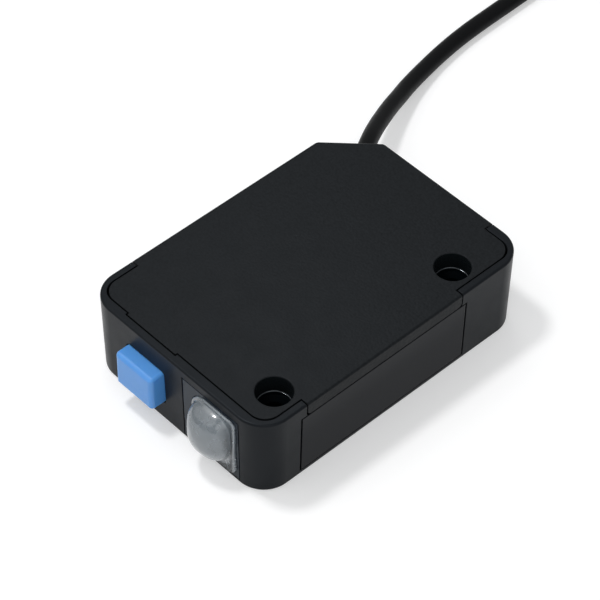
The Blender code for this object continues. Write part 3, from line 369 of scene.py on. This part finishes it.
def milky_masks(n, cloud):
    """Where the status window is thin and clear and darkened by painted shade beside and under its
    dome, where its dome gets painted light from below, and its painted bright right rim.
    """
    x, _, z = n.axes(n.place)
    from_middle = n.math("SUBTRACT", x, DOME_X)
    across = n.math("MAXIMUM", n.math("DIVIDE", from_middle, -DOME_A),
                    n.math("DIVIDE", from_middle, DOME_A_RIGHT))
    over = n.math("DIVIDE", n.math("SUBTRACT", z, DOME_Z), DOME_C)
    away = n.math("ADD", n.math("POWER", across, DOME_SQUARE_ABOVE),
                  n.math("POWER", n.math("ABSOLUTE", over, 0.0), DOME_SQUARE_ABOVE))
    # Painted light from below: the window is paler low down.
    low = n.ranged(n.math("ADD", z, n.math("MULTIPLY", cloud, 0.0016)), 1.0, 0.0, *LIT_FROM_BELOW_HEIGHTS)
    edge = n.math("ADD", away, n.math("MULTIPLY", n.math("SUBTRACT", cloud, 0.5), 0.5))
    edge = n.math("SUBTRACT", edge, n.math("MULTIPLY", low, 0.35))
    outside = n.ranged(edge, 0.0, 1.0, 0.60, 1.05)
    # Painted shade: the dark thin part reaches most under and to the right of the dome.
    low_right = n.math("SUBTRACT", n.math("DIVIDE", from_middle, DOME_A_RIGHT), over)
    flat_part = n.math("MULTIPLY", outside, n.ranged(low_right, 0.0, 1.0, -0.2, 0.6))
    # Painted highlight: the right rim stays pale.
    rim = n.ranged(x, 0.0, 1.0, LENS_X1 - LENS_RIM_GLOW, LENS_X1 - LENS_RIM_GLOW / 3)
    thin = n.math("SUBTRACT", flat_part, n.math("MULTIPLY", rim, 0.9))
    return thin, low


def milky(name):
    """The status window: thick and cloudy at its dome, thinner and darker round it, partly by painted
    shade; paler low down and at its right rim by painted light.
    """
    n = Nodes(name)
    cloud = n.noise(0.0030, 2.0)
    thin, low = milky_masks(n, cloud)
    # The body colour is paler low down, painted light from below; the thin part is darker, partly
    # painted shade.
    body = n.mixed(low, (0.25, 0.29, 0.32), (0.50, 0.54, 0.58))
    n.link(n.mixed(thin, body, (0.06, 0.08, 0.10)), n.shader.inputs["Base Color"])
    n.link(n.ranged(thin, 0.60, 0.84, 0.0, 1.0), n.shader.inputs["Transmission Weight"])
    n.link(n.ranged(cloud, 0.24, 0.32), n.shader.inputs["Roughness"])
    n.link(n.relief(cloud, 0.00002, n.soft_edge(0.00012)), n.shader.inputs["Normal"])
    n.link(n.ranged(thin, 0.7, 0.05, 0.0, 1.0), n.shader.inputs["Coat Weight"])
    n.link(n.ranged(thin, 0.5, 0.2, 0.0, 1.0), n.shader.inputs["Specular IOR Level"])
    n.set(IOR=1.5, Coat_IOR=1.7, Coat_Roughness=0.03)
    return n.mat


def soft_blue(name, colour):
    """The button's plastic, which light enters a little."""
    n = Nodes(name)
    fine = n.noise(0.0002, 2.0)
    broad = n.noise(0.003, 2.0)
    n.link(n.mixed(broad, tint(colour, 0.95), tint(colour, 1.05)), n.shader.inputs["Base Color"])
    n.link(n.ranged(fine, 0.30, 0.42), n.shader.inputs["Roughness"])
    n.link(n.relief(fine, 0.000006, n.soft_edge(0.0001)), n.shader.inputs["Normal"])
    n.set(Subsurface_Weight=0.4, Subsurface_Scale=0.0015, Subsurface_Radius=(0.4, 0.7, 1.0))
    return n.mat


def plated(name, colour, roughness):
    """Plated sheet metal with a slight drawn grain."""
    n = Nodes(name)
    drawn = n.noise(0.0004, 3.0, stretch=(1.0, 8.0, 8.0))
    n.link(n.mixed(drawn, tint(colour, 0.85), tint(colour, 1.1)), n.shader.inputs["Base Color"])
    n.link(n.ranged(drawn, roughness * 0.7, roughness * 1.4), n.shader.inputs["Roughness"])
    n.link(n.relief(drawn, 0.000006), n.shader.inputs["Normal"])
    n.set(Metallic=1.0)
    return n.mat


def make_materials():
    """All materials, by name."""
    return {
        # The cover's and the case's above values give their faces that look up a painted sheen.
        "cover": moulded("cover_plastic", (0.0085, 0.0096, 0.0107), 0.38, grain=0.00042,
                         depth=0.000030, spread=0.35, specular=0.07, above=0.110, detail=0.0),
        "case": moulded("case_plastic", (0.0070, 0.0080, 0.0095), 0.36, depth=0.000008,
                        specular=0.10, above=0.122, sheen=(0.80, 0.90, 1.0)),
        # The hole and bore colours are darker than the case and cover: painted shade inside the screw
        # holes.
        "hole": moulded("hole_painted_shade", (0.0008, 0.0018, 0.0026), 0.45, depth=0.000002,
                        edge=0.0, specular=0.02),
        "bore": moulded("bore_painted_shade", (0.0055, 0.0075, 0.0085), 0.30, depth=0.000002,
                        edge=0.0, specular=0.12),
        # The step colour is paler than the cover's: a painted highlight along the fillet at the
        # counterbore's floor.
        "step": moulded("fillet_painted_highlight", (0.0100, 0.0120, 0.0140), 0.10, depth=0.000001,
                        edge=0.0, specular=0.8),
        "window": moulded("window_plastic", (0.0065, 0.007, 0.0088), 0.16, depth=0.000002,
                          spread=0.08, specular=0.08, sheen=(0.80, 0.90, 1.0)),
        # The bezel's blue colour and blue sheen are a painted reflection of the blue button.
        "bezel": moulded("bezel_painted_blue_reflection", (0.003, 0.007, 0.014), 0.2, depth=0.000003, spread=0.1,
                         specular=0.15, sheen=(0.65, 0.84, 1.0)),
        "lens": milky("milky_plastic"),
        "blue": soft_blue("button_plastic", (0.085, 0.30, 0.70)),
        "rubber": moulded("soft_rubber", (0.02, 0.02, 0.021), 0.7, grain=0.0003, spread=0.3),
        "holder": moulded("holder_plastic", (0.015, 0.015, 0.015), 0.6, grain=0.0002),
        "board": moulded("solder_mask", (0.02, 0.13, 0.06), 0.35, grain=0.0006, spread=0.2),
        "chip": moulded("chip_resin", (0.02, 0.02, 0.022), 0.5, grain=0.0001, spread=0.3),
        "metal": plated("plated_steel", (0.62, 0.61, 0.59), 0.3),
        "clear": glassy("clear_plastic", (0.92, 0.94, 0.96), 0.04, 0.95),
        "filter": glassy("filter_film", (0.16, 0.15, 0.17), 0.08, 0.7),
        "green": glassy("green_resin", (0.15, 0.75, 0.25), 0.2, 0.5),
        "yellow": glassy("yellow_resin", (0.9, 0.6, 0.1), 0.2, 0.5),
        "red": glassy("red_resin", (0.7, 0.06, 0.05), 0.2, 0.5),
        "jacket": moulded("cable_jacket", (0.0050, 0.0050, 0.0052), 0.45, grain=0.0004,
                          depth=0.000010, edge=0.0, specular=0.09),
        "brown": moulded("core_brown", (0.13, 0.05, 0.025), 0.4, edge=0.0),
        "white": moulded("core_white", (0.72, 0.72, 0.70), 0.4, spread=0.05, edge=0.0),
        "core_blue": moulded("core_blue", (0.025, 0.10, 0.42), 0.4, edge=0.0),
        "black": moulded("core_black", (0.016, 0.016, 0.017), 0.4, edge=0.0),
    }


SLOTS = {
    "housing_black": "case", "window_dark": "window", "indicator_milky": "lens",
    "button_blue": "blue", "rubber_black": "rubber", "holder_black": "holder",
    "board_green": "board", "chip_black": "chip", "plated_metal": "metal",
    "lens_clear": "clear", "filter_grey": "filter", "led_green": "green",
    "led_yellow": "yellow", "emitter_red": "red", "cable_grey": "jacket",
    "lead_brown": "brown", "lead_white": "white", "lead_blue": "core_blue",
    "lead_black": "black"}


def dress_nodes(mats):
    """Gives every node of the frame its procedural material."""
    for part in frame["record"]["subparts"]:
        node = bpy.data.objects[part["node"]]
        for place in node.material_slots:
            place.material = mats[SLOTS[part["material_slot"]]]


# Outlines and solids

def rounded_outline(corners, steps=20):
    """Turns corners (x, y, radius), counter-clockwise, into points with an arc at each corner."""
    points = []
    for i, (x, y, radius) in enumerate(corners):
        here = Vector((x, y))
        if radius <= 0:
            points.append(here)
            continue
        before = (Vector(corners[i - 1][:2]) - here).normalized()
        after = (Vector(corners[(i + 1) % len(corners)][:2]) - here).normalized()
        half = before.angle(after) / 2
        centre = here + (before + after).normalized() * radius / math.sin(half)
        start = here + before * radius / math.tan(half) - centre
        end = here + after * radius / math.tan(half) - centre
        sweep = math.pi - 2 * half
        for k in range(steps + 1):
            t = k / steps
            a = math.sin((1 - t) * sweep) / math.sin(sweep)
            b = math.sin(t * sweep) / math.sin(sweep)
            points.append(centre + start * a + end * b)
    return points


def rounded_rectangle(u0, u1, v0, v1, radius, steps=10):
    """A rectangle with four round corners."""
    corners = [(u0, v0, radius), (u1, v0, radius), (u1, v1, radius), (u0, v1, radius)]
    return rounded_outline(corners, steps)


def circle(u, v, radius, steps=64):
    """Points round a circle."""
    turns = [2 * math.pi * k / steps for k in range(steps)]
    return [Vector((u + radius * math.cos(a), v + radius * math.sin(a))) for a in turns]


def body_outline(inset):
    """The case's outline in plan, set in from its widest size."""
    side = WIDTH / 2 - inset
    end = LENGTH / 2 - inset
    round_r = max(CORNER_R - inset, EDGE_ROUND / 2)
    cut = CHAMFER - inset * (2 - math.sqrt(2))
    cut_r = max(CHAMFER_ROUND - inset, EDGE_ROUND / 2)
    return rounded_outline([(-side, -end, round_r), (side, -end, round_r), (side, end, round_r),
                            (-side + cut, end, cut_r), (-side, end - cut, cut_r)])


def flat(points, z):
    """Plan points at one height."""
    return [Vector((p.x, p.y, z)) for p in points]


def facing_front(points, y):
    """Points (x, z) on a plane that faces the front end."""
    return [Vector((p.x, y, p.y)) for p in points]


def facing_side(points, x):
    """Points (y, z) on a plane that faces the long side."""
    return [Vector((x, p.x, p.y)) for p in points]


def loft(rings, capped=True):
    """A closed solid through rings of equally many points, with flat ends or back to its start."""
    bm = bmesh.new()
    loops = [[bm.verts.new(p) for p in ring] for ring in rings]
    for low, high in zip(loops, loops[1:] if capped else loops[1:] + loops[:1]):
        for i in range(len(low)):
            j = (i + 1) % len(low)
            bm.faces.new((low[i], low[j], high[j], high[i]))
    if capped:
        bm.faces.new(loops[0])
        bm.faces.new(loops[-1])
    return bm


def block(x0, x1, y0, y1, z0, z1):
    """A cutting block between two corners."""
    plan = [Vector((x0, y0)), Vector((x1, y0)), Vector((x1, y1)), Vector((x0, y1))]
    return loft([flat(plan, z0), flat(plan, z1)])


def upright(x, y, profile, steps=64):
    """A solid turned about a vertical axis, from (height, radius) pairs."""
    return loft([flat(circle(x, y, r, steps), z) for z, r in profile])


def from_mesh(name, bm):
    """A new object of a mesh."""
    bmesh.ops.recalc_face_normals(bm, faces=bm.faces)
    mesh = bpy.data.meshes.new(name)
    bm.to_mesh(mesh)
    bm.free()
    obj = bpy.data.objects.new(name, mesh)
    bpy.context.collection.objects.link(obj)
    return obj


def shaped(obj, steps):
    """Applies a list of (operation, mesh) Booleans to an object."""
    tools = []
    for i, (operation, bm) in enumerate(steps):
        tool = from_mesh(f"tool_{i}", bm)
        step = obj.modifiers.new(tool.name, "BOOLEAN")
        step.operation = operation
        step.solver = "EXACT"
        step.object = tool
        tools.append(tool)
    graph = bpy.context.evaluated_depsgraph_get()
    mesh = bpy.data.meshes.new_from_object(obj.evaluated_get(graph))
    obj.modifiers.clear()
    obj.data = mesh
    for tool in tools:
        bpy.data.objects.remove(tool)
    return obj


def finished(obj, mat, body, *nodes, slot=None):
    """Shades a piece, gives it its material and body, and hides the nodes that it stands for."""
    obj.data.materials.clear()
    obj.data.materials.append(mat)
    obj.data.shade_smooth()
    obj.data.set_sharp_from_angle(angle=math.radians(SHARP_ANGLE))
    even = obj.modifiers.new("even_normals", "WEIGHTED_NORMAL")
    even.keep_sharp = True
    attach(obj, body)
    if nodes:
        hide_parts(*nodes)
    return obj


# Housing

def round_over(inset_from, z_from, direction):
    """Insets and heights of a rounded edge, from the wall to the flat face."""
    rings = []
    for k in range(EDGE_STEPS + 1):
        a = math.pi / 2 * k / EDGE_STEPS
        inset = inset_from + EDGE_ROUND * (1 - math.cos(a))
        rings.append((inset, z_from + direction * EDGE_ROUND * math.sin(a)))
    return rings


def body_blank():
    """The outer form of case and cover together."""
    low = round_over(DRAFT, EDGE_ROUND, -1)[::-1]
    high = round_over(0.0, HEIGHT - EDGE_ROUND, 1)
    return loft([flat(body_outline(inset), z) for inset, z in low + high])


def cover_plan(gap):
    """The cover's outline in plan: inside the rim at the corners, past the edge between them."""
    fx = WIDTH / 2 - RIM_SIDE + gap
    fy = LENGTH / 2 - RIM_FRONT + gap
    out = WIDTH / 2 + PAST
    back = LENGTH / 2 + PAST
    return rounded_outline([
        (-fx, -fy, RIM_R), (TAB_X0 - gap, -fy, 0), (TAB_X0 - gap, -fy - TAB_REACH, 0),
        (TAB_X1 + gap, -fy - TAB_REACH, 0), (TAB_X1 + gap, -fy, 0), (fx, -fy, RIM_R),
        (fx, LIP_Y0 - gap, 0), (out, LIP_Y0 - gap, 0), (out, LIP_Y1 + gap, 0),
        (fx, LIP_Y1 + gap, 0), (fx, fy, RIM_R), (POST_X + gap, fy, 0),
        (POST_X + gap, back, 0), (-out, back, 0), (-out, LIP_Y0 - gap, 0),
        (-fx, LIP_Y0 - gap, 0)], 14)


def right_lip(gap):
    """The lip over the optical window."""
    profile = rounded_rectangle(LIP_Y0 - gap, LIP_Y1 + gap, HEIGHT - LIP_H - gap,
                                HEIGHT + 2 * PAST, LIP_ROUND)
    return loft([facing_side(profile, x) for x in (WIDTH / 2 - LIP_T - gap, WIDTH / 2 + PAST)])


def left_lip(gap):
    """The lip along the other long side, the cut-off corner and the back."""
    inset = LIP_T + gap
    side = WIDTH / 2 - inset
    end = LENGTH / 2 - inset
    cut = CHAMFER - inset * (2 - math.sqrt(2))
    out = WIDTH / 2 + PAST
    back = LENGTH / 2 + PAST
    x1 = POST_X + gap
    y0 = LIP_Y0 - gap
    plan = [Vector(p) for p in ((x1, end), (x1, back), (-out, back), (-out, y0), (-side, y0),
                                (-side, end - cut), (-side + cut, end))]
    return loft([flat(plan, HEIGHT - LIP_H - gap), flat(plan, HEIGHT + PAST)])


def cover_share(gap):
    """All that the cover takes of the outer form, as a mesh."""
    low = HEIGHT - COVER_T - gap
    share = from_mesh("share", loft([flat(cover_plan(gap), z) for z in (low, HEIGHT + PAST)]))
    shaped(share, [("UNION", right_lip(gap)), ("UNION", left_lip(gap))])
    bm = bmesh.new()
    bm.from_mesh(share.data)
    bpy.data.objects.remove(share)
    return bm


def paint_bore_shade_and_glint(obj, mats):
    """Painted shade for the moulded screw holes: a darker, smoother material on their walls, with a
    shiny, paler fillet of painted highlight at their floor if given.
    """
    for mat in mats:
        obj.data.materials.append(mat)
    for face in obj.data.polygons:
        middle = face.center
        for x, y in HOLES:
            away = math.hypot(middle.x - x, middle.y - y)
            if away < COLLAR_D / 2 + SEAM and FLOOR / 2 < middle.z < HEIGHT - EDGE_ROUND / 4:
                fillet = middle.z < HEIGHT - CBORE_DEPTH + SEAM + STEP_R and face.normal.z > 0.05
                face.material_index = len(mats) if fillet else 1


def lens_outline(grow, steps=12):
    """The milky window's outline on the front end, rounder on the dome's side."""
    x0, x1, z0, z1 = LENS_X0 - grow, LENS_X1 + grow, LENS_Z0 - grow, LENS_Z1 + grow
    r = LENS_R + grow
    wide = LENS_DOME_R + grow
    return rounded_outline([(x0, z0, wide), (x1, z0, r), (x1, z1, r), (x0, z1, wide)], steps)


def cap_outline(grow, steps=12):
    """The button's outline on the front end."""
    w = CAP_W / 2 + grow
    h = CAP_H / 2 + grow
    r = max(CAP_R + grow, CAP_R / 4)
    return rounded_rectangle(CAP_X - w, CAP_X + w, CAP_Z - h, CAP_Z + h, r, steps)


def flange_outline(steps=12):
    """The outline of the button's flange behind the wall."""
    w = BUTTON_W / 2 + FLANGE
    h = BUTTON_H / 2 + FLANGE
    return rounded_rectangle(BUTTON_X - w, BUTTON_X + w, BUTTON_Z - h, BUTTON_Z + h,
                             BUTTON_R + FLANGE, steps)


def along_exit(profile, steps=48):
    """A solid turned about the cable's exit, from (distance outwards, radius) pairs."""
    out = Vector((-math.sqrt(0.5), math.sqrt(0.5), 0.0))
    side = Vector((math.sqrt(0.5), math.sqrt(0.5), 0.0))
    up = Vector((0.0, 0.0, 1.0))
    rings = []
    for distance, r in profile:
        turns = [2 * math.pi * k / steps for k in range(steps)]
        rings.append([Vector(CABLE_EXIT) + out * distance
                      + (side * math.cos(a) + up * math.sin(a)) * r for a in turns])
    return loft(rings)


def screw_bosses():
    """The case's two bosses under the cover's collars."""
    profile = [(FLOOR / 2, COLLAR_D / 2), (HEIGHT - CBORE_DEPTH, COLLAR_D / 2)]
    return [("UNION", upright(x, y, profile)) for x, y in HOLES]


def screw_holes():
    """The cuts for the cover's collars and for the bores with their funnels."""
    steps = []
    top = HEIGHT - CBORE_DEPTH
    lead = (HOLE_LEAD_D - HOLE_D) / 2
    for x, y in HOLES:
        r = COLLAR_D / 2 + SEAM
        steps.append(("DIFFERENCE", upright(x, y, [(top, r), (HEIGHT + PAST, r)])))
        bore = [(-PAST, HOLE_D / 2), (top - lead, HOLE_D / 2), (top, HOLE_LEAD_D / 2),
                (HEIGHT, HOLE_LEAD_D / 2)]
        steps.append(("DIFFERENCE", upright(x, y, bore)))
    return steps


def wall_openings():
    """The cuts for the window, the light, the bezel, the milky window, the button and the cable."""
    out = WIDTH / 2 + PAST
    inside = FRONT + WALL + PAST
    cuts = [
        block(WIDTH / 2 - WINDOW_T - SEAM, out, WINDOW_Y0 - WINDOW_SEAM, WINDOW_Y1 + WINDOW_SEAM,
              WINDOW_Z0 - SEAM, WINDOW_Z1 + SEAM),
        block(WIDTH / 2 - WALL - PAST, out, LIGHT_Y0, LIGHT_Y1, LIGHT_Z0, LIGHT_Z1),
        block(BEZEL_X0 - SEAM_SEEN, BEZEL_X1 + SEAM, FRONT - PAST, FRONT + BEZEL_T + SEAM,
              BEZEL_Z0 - SEAM, BEZEL_Z1 + SEAM),
        loft([facing_front(lens_outline(SEAM), y) for y in (FRONT, inside)]),
        loft([facing_front(cap_outline(BUTTON_GAP), y) for y in (FRONT - PAST, inside)]),
        along_exit([(-WALL - PAST, CABLE_HOLE_R), (PAST, CABLE_HOLE_R)])]
    return [("DIFFERENCE", cut) for cut in cuts]


def make_case(mats):
    """The lower shell at full fineness."""
    case = from_mesh("case_shell", body_blank())
    inside = loft([flat(body_outline(WALL), z) for z in (FLOOR, HEIGHT + PAST)])
    steps = [("DIFFERENCE", inside)] + screw_bosses()
    steps.append(("DIFFERENCE", cover_share(SEAM_SEEN)))
    steps += screw_holes() + wall_openings()
    finished(shaped(case, steps), mats["case"], "sensor", "case", slot="housing_black")
    paint_bore_shade_and_glint(case, [mats["hole"]])


def counterbore_profile(low):
    """Heights and radii of a counterbore with a small fillet at its floor."""
    r = CBORE_D / 2
    profile = [(low - PAST, r - STEP_R)]
    for k in range(STEP_COUNT + 1):
        a = math.pi / 2 * k / STEP_COUNT
        profile.append((low + STEP_R * (1 - math.cos(a)), r - STEP_R * (1 - math.sin(a))))
    return profile + [(HEIGHT - CBORE_EDGE, r), (HEIGHT, r + CBORE_EDGE),
                      (HEIGHT + PAST, r + CBORE_EDGE + PAST)]


def make_cover(mats):
    """The cover at full fineness, with its two counterbored collars."""
    cover = from_mesh("cover_shell", body_blank())
    low = HEIGHT - CBORE_DEPTH + SEAM
    collar = [(low, COLLAR_D / 2), (HEIGHT - COVER_T / 2, COLLAR_D / 2)]
    steps = [("INTERSECT", cover_share(0.0))]
    steps += [("UNION", upright(x, y, collar)) for x, y in HOLES]
    steps += [("DIFFERENCE", upright(x, y, counterbore_profile(low))) for x, y in HOLES]
    finished(shaped(cover, steps), mats["cover"], "sensor", "cover", slot="housing_black")
    paint_bore_shade_and_glint(cover, [mats["bore"], mats["step"]])


def make_window(mats):
    """The glossy optical window."""
    window = from_mesh("optical_window", body_blank())
    space = block(WIDTH / 2 - WINDOW_T, WIDTH / 2 + PAST, WINDOW_Y0, WINDOW_Y1, WINDOW_Z0,
                  WINDOW_Z1 - WINDOW_DROP)
    shaped(window, [("INTERSECT", space)])
    finished(window, mats["window"], "sensor", "front_window", slot="window_dark")


def make_bezel(mats):
    """The dark bezel round the milky window."""
    bezel = from_mesh("light_bezel", body_blank())
    space = block(BEZEL_X0, BEZEL_X1, FRONT - PAST, FRONT + BEZEL_T, BEZEL_Z0, BEZEL_Z1)
    opening = loft([facing_front(lens_outline(SEAM / 2), y) for y in (FRONT - PAST, FRONT + WALL)])
    shaped(bezel, [("INTERSECT", space), ("DIFFERENCE", opening)])
    finished(bezel, mats["bezel"], "sensor", "indicator_bezel", slot="window_dark")


def dome_ring(share, reach, steps=96):
    """One ring of the dome: a rounded square, squarer above and wider to the right."""
    points = []
    for k in range(steps):
        a = 2 * math.pi * k / steps
        square = DOME_SQUARE_ABOVE if math.sin(a) > 0 else DOME_SQUARE
        wide = DOME_A_RIGHT if math.cos(a) > 0 else DOME_A
        out = share / (abs(math.cos(a)) ** square + abs(math.sin(a)) ** square) ** (1 / square)
        points.append(Vector((DOME_X + wide * out * math.cos(a), DOME_Z + DOME_C * out * math.sin(a))))
    return facing_front(points, FRONT - reach)


def make_lens(mats):
    """The milky window with its dome."""
    rings = [facing_front(lens_outline(0.0), FRONT + LENS_T),
             facing_front(lens_outline(0.0), FRONT)]
    for k in range(1, LENS_EDGE_STEPS + 1):
        a = math.pi / 2 * k / LENS_EDGE_STEPS
        rings.append(facing_front(lens_outline(-LENS_PROUD * (1 - math.cos(a))),
                                  FRONT - LENS_PROUD * math.sin(a)))
    lens = from_mesh("status_window", loft(rings))
    profile = [(DOME_FOOT[0][0], -LENS_T / 2)]
    profile += [(share, LENS_PROUD * height) for share, height in DOME_FOOT]
    for k in range(2, DOME_COUNT + 1):
        a = math.pi / 2 * k / (DOME_COUNT + 0.6)
        profile.append((math.cos(a), DOME_REACH * math.sin(a)))
    dome = loft([dome_ring(share, reach) for share, reach in profile])
    shaped(lens, [("UNION", dome)])
    finished(lens, mats["lens"], "sensor", "indicator_lens", slot="indicator_milky")


def make_button(mats):
    """The push button with softly rounded front edges."""
    rings = []
    for k in range(CAP_COUNT + 1):
        a = math.pi / 2 * (1 - k / CAP_COUNT)
        rings.append((-CAP_ROUND * (1 - math.cos(a)),
                      FRONT - BUTTON_REACH + CAP_ROUND * (1 - math.sin(a))))
    rings.append((0.0, FLANGE_Y0 + FLANGE / 2))
    button = from_mesh("button_cap", loft([facing_front(cap_outline(g), y) for g, y in rings]))
    flange = loft([facing_front(flange_outline(), y) for y in (FLANGE_Y0, FLANGE_Y1)])
    stem = loft([facing_front(circle(BUTTON_X, BUTTON_Z, STEM_R, 24), y)
                 for y in (FLANGE_Y0 + FLANGE / 2, STEM_Y1)])
    shaped(button, [("UNION", flange), ("UNION", stem)])
    finished(button, mats["blue"], "button", "teach_button", slot="button_blue")


# Cable

def ease(t):
    """A smooth step from 0 to 1."""
    return (1 - math.cos(math.pi * t)) / 2


def coil_points():
    """The coil's winding: polar angle, radius and height, clockwise from the free run.

    Layers go in and out by turns, and each move to the next column or layer is a gentle one."""
    points = []
    here = [*COIL_START, CABLE_D / 2 + COIL_CLEAR]

    def go(travel, radius=None, height=None):
        """Winds on by an angle, with a gentle move to a new radius or height."""
        angle, r0, z0 = here
        r1 = r0 if radius is None else radius
        z1 = z0 if height is None else height
        count = max(2, round(travel / COIL_STEP))
        for k in range(1, count + 1):
            t = k / count
            points.append((angle - travel * t, r0 + (r1 - r0) * ease(t), z0 + (z1 - z0) * ease(t)))
        here[:] = [angle - travel, r1, z1]

    columns = [COIL_IN + COIL_PITCH * c for c in range(COIL_COLUMNS)]
    go(COIL_MOVE, columns[-1], COIL_LOW)
    for layer in range(COIL_LAYERS):
        if layer:
            go(360 - 2 * COIL_MOVE)
            go(COIL_MOVE, None, COIL_LOW + COIL_PITCH * layer)
        go(360 - 2 * COIL_MOVE)
        order = columns[1:] if layer % 2 else columns[-2::-1]
        for i, radius in enumerate(order):
            if i:
                go(360 - COIL_MOVE)
            go(COIL_MOVE, radius)
    go(360 - COIL_MOVE)
    leave, radius, height = TAIL[0]
    go(here[0] % 360 - leave, radius, height)
    return points + TAIL[1:]


def round_coil(angle, radius, height):
    """A point by its polar place about the coil's middle."""
    a = math.radians(angle)
    return Vector((COIL_X + radius * math.cos(a), COIL_Y + radius * math.sin(a), height))


def curve(name, points, diameter, resolution=4):
    """A round tube through points, on one open spline."""
    data = bpy.data.curves.new(name, "CURVE")
    data.dimensions = "3D"
    data.bevel_depth = diameter / 2
    data.bevel_resolution = 6
    data.use_fill_caps = True
    data.resolution_u = resolution
    spline = data.splines.new("BEZIER")
    spline.bezier_points.add(len(points) - 1)
    for point, place in zip(spline.bezier_points, points):
        point.co = place
        point.handle_left_type = "AUTO"
        point.handle_right_type = "AUTO"
    obj = bpy.data.objects.new(name, data)
    bpy.context.collection.objects.link(obj)
    return obj


def make_lead(name, order, nest, mats):
    """One stripped core that fans out from the cable's end."""
    angle, radius, height = TAIL[-1]
    across, up = (LEAD_NEST * side for side in nest)
    place = radius - LEAD_NEST + LEAD_SPREAD * order
    turn = math.degrees(LEAD_STEP / radius)
    route = [(angle + turn * 3, radius + across, height + up),
             (angle - turn * 5, radius + across, height + up),
             (angle - LEAD_TURN / 2, place, LEAD_D * 0.8),
             (angle - LEAD_TURN, place + LEAD_D * order / 2, LEAD_D * 0.6)]
    lead = curve("stripped_" + name, [round_coil(*p) for p in route], LEAD_D, 12)
    lead.data.materials.append(mats["core_blue" if name == "blue" else name])
    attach(lead, "sensor")
    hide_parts("cable_lead_" + name)
    return lead


def tie_rings():
    """The four edges of a flat tie round the coil's section, as (radius, along, height)."""
    low = COIL_LOW - CABLE_D / 2
    high = low + COIL_PITCH * (COIL_LAYERS - 1) + CABLE_D
    inner = COIL_IN - CABLE_D / 2
    outer = inner + COIL_PITCH * (COIL_COLUMNS - 1) + CABLE_D
    rings = []
    for grow, side in ((0.0, -1), (TIE_T, -1), (TIE_T, 1), (0.0, 1)):
        corners = rounded_rectangle(inner - grow, outer + grow, low - grow, high + grow,
                                    TIE_R + grow, 8)
        rings.append([Vector((p.x, side * TIE_HALF, p.y)) for p in corners])
    return rings


def make_tie(name, angle, mats):
    """A flat twist tie round the turns."""
    turn = Matrix.Rotation(math.radians(angle), 4, "Z")
    middle = Vector((COIL_X, COIL_Y, 0.0))
    rings = [[middle + turn @ p for p in ring] for ring in tie_rings()]
    tie = from_mesh(name, loft(rings, capped=False))
    return finished(tie, mats["black"], "sensor")


def make_cable(mats):
    """The whole cable with its stripped cores and ties."""
    start = Vector(CABLE_EXIT) + Vector((-CABLE_SUNK, CABLE_SUNK, 0.0)) * math.sqrt(0.5)
    line = [start] + [Vector(p) for p in CABLE_SEEN]
    line += [round_coil(*p) for p in coil_points()]
    cable = curve("cable", line, CABLE_D)
    cable.data.materials.append(mats["jacket"])
    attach(cable, "sensor")
    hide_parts("cable_run", "cable_coil", "cable_tail")
    pieces = [make_lead(name, order, nest, mats) for name, order, nest in LEADS]
    pieces += [make_tie(name, angle, mats) for name, angle in TIES]


# Studio

def floor_mesh():
    """A square grid just under the base."""
    bm = bmesh.new()
    places = [(i / FLOOR_CELLS - 0.5) * FLOOR_SIZE for i in range(FLOOR_CELLS + 1)]
    grid = [[bm.verts.new((x, y, FLOOR_Z)) for y in places] for x in places]
    for near, far in zip(grid, grid[1:]):
        for j in range(FLOOR_CELLS):
            bm.faces.new((near[j], far[j], far[j + 1], near[j + 1]))
    return bm


def make_floor():
    """A pale floor that keeps the object's shadow and looks white to the camera."""
    floor = from_mesh("floor", floor_mesh())
    n = Nodes("floor_white")
    shade = n.noise(0.05, 2.0)
    n.link(n.mixed(shade, (0.74, 0.74, 0.74), (0.76, 0.76, 0.76)), n.shader.inputs["Base Color"])
    rays = n.add("ShaderNodeLightPath").outputs
    seen = n.math("MAXIMUM", rays["Is Camera Ray"], rays["Is Glossy Ray"])
    seen = n.math("MAXIMUM", seen, rays["Is Transmission Ray"])
    n.link(n.ranged(seen, 0.0, FLOOR_GLOW, 0.0, 1.0), n.shader.inputs["Emission Strength"])
    n.set(Roughness=0.9, Specular_IOR_Level=0.0, Emission_Color=(1.0, 1.0, 1.0, 1.0))
    floor.data.materials.append(n.mat)


def lamp(name, kind, place, target, energy, size):
    """A soft lamp that looks at a target."""
    data = bpy.data.lights.new(name, kind)
    data.energy = energy
    if kind == "AREA":
        data.shape = "RECTANGLE"
        data.size, data.size_y = size
    else:
        data.angle = size
    obj = bpy.data.objects.new(name, data)
    bpy.context.collection.objects.link(obj)
    obj.location = place
    obj.rotation_euler = (Vector(target) - Vector(place)).to_track_quat("-Z", "Y").to_euler()


def make_room():
    """An even, faintly cool room."""
    world = bpy.data.worlds.new("room")
    bpy.context.scene.world = world
    world.use_nodes = True
    back = world.node_tree.nodes["Background"]
    back.inputs["Color"].default_value = (0.97, 0.985, 1.0, 1.0)
    back.inputs["Strength"].default_value = ROOM_STRENGTH
    bpy.context.scene.view_settings.view_transform = "Standard"


def make_lights():
    """A near overhead key, a weak lamp for the sheen on top and a broad fill from each side."""
    lamp("key", "AREA", (-0.10, -0.05, 0.33), (0, 0, 0), 0.42, (0.045, 0.045))
    lamp("sheen", "AREA", (-0.147, 0.121, 0.285), (0.02, -0.03, 0), 0.06, (0.08, 0.08))
    lamp("fill", "SUN", (-0.7, -0.9, 1.1), (0, 0, 0), 0.50, math.radians(60))
    lamp("side", "SUN", (0.9, -0.6, 0.8), (0, 0, 0), 0.75, math.radians(60))


def main():
    """Camera and cable first, then the pieces and the studio."""
    make_camera()
    mats = make_materials()
    make_cable(mats)
    dress_nodes(mats)
    make_case(mats)
    make_cover(mats)
    make_window(mats)
    make_bezel(mats)
    make_lens(mats)
    make_button(mats)
    make_floor()
    make_room()
    make_lights()


main()
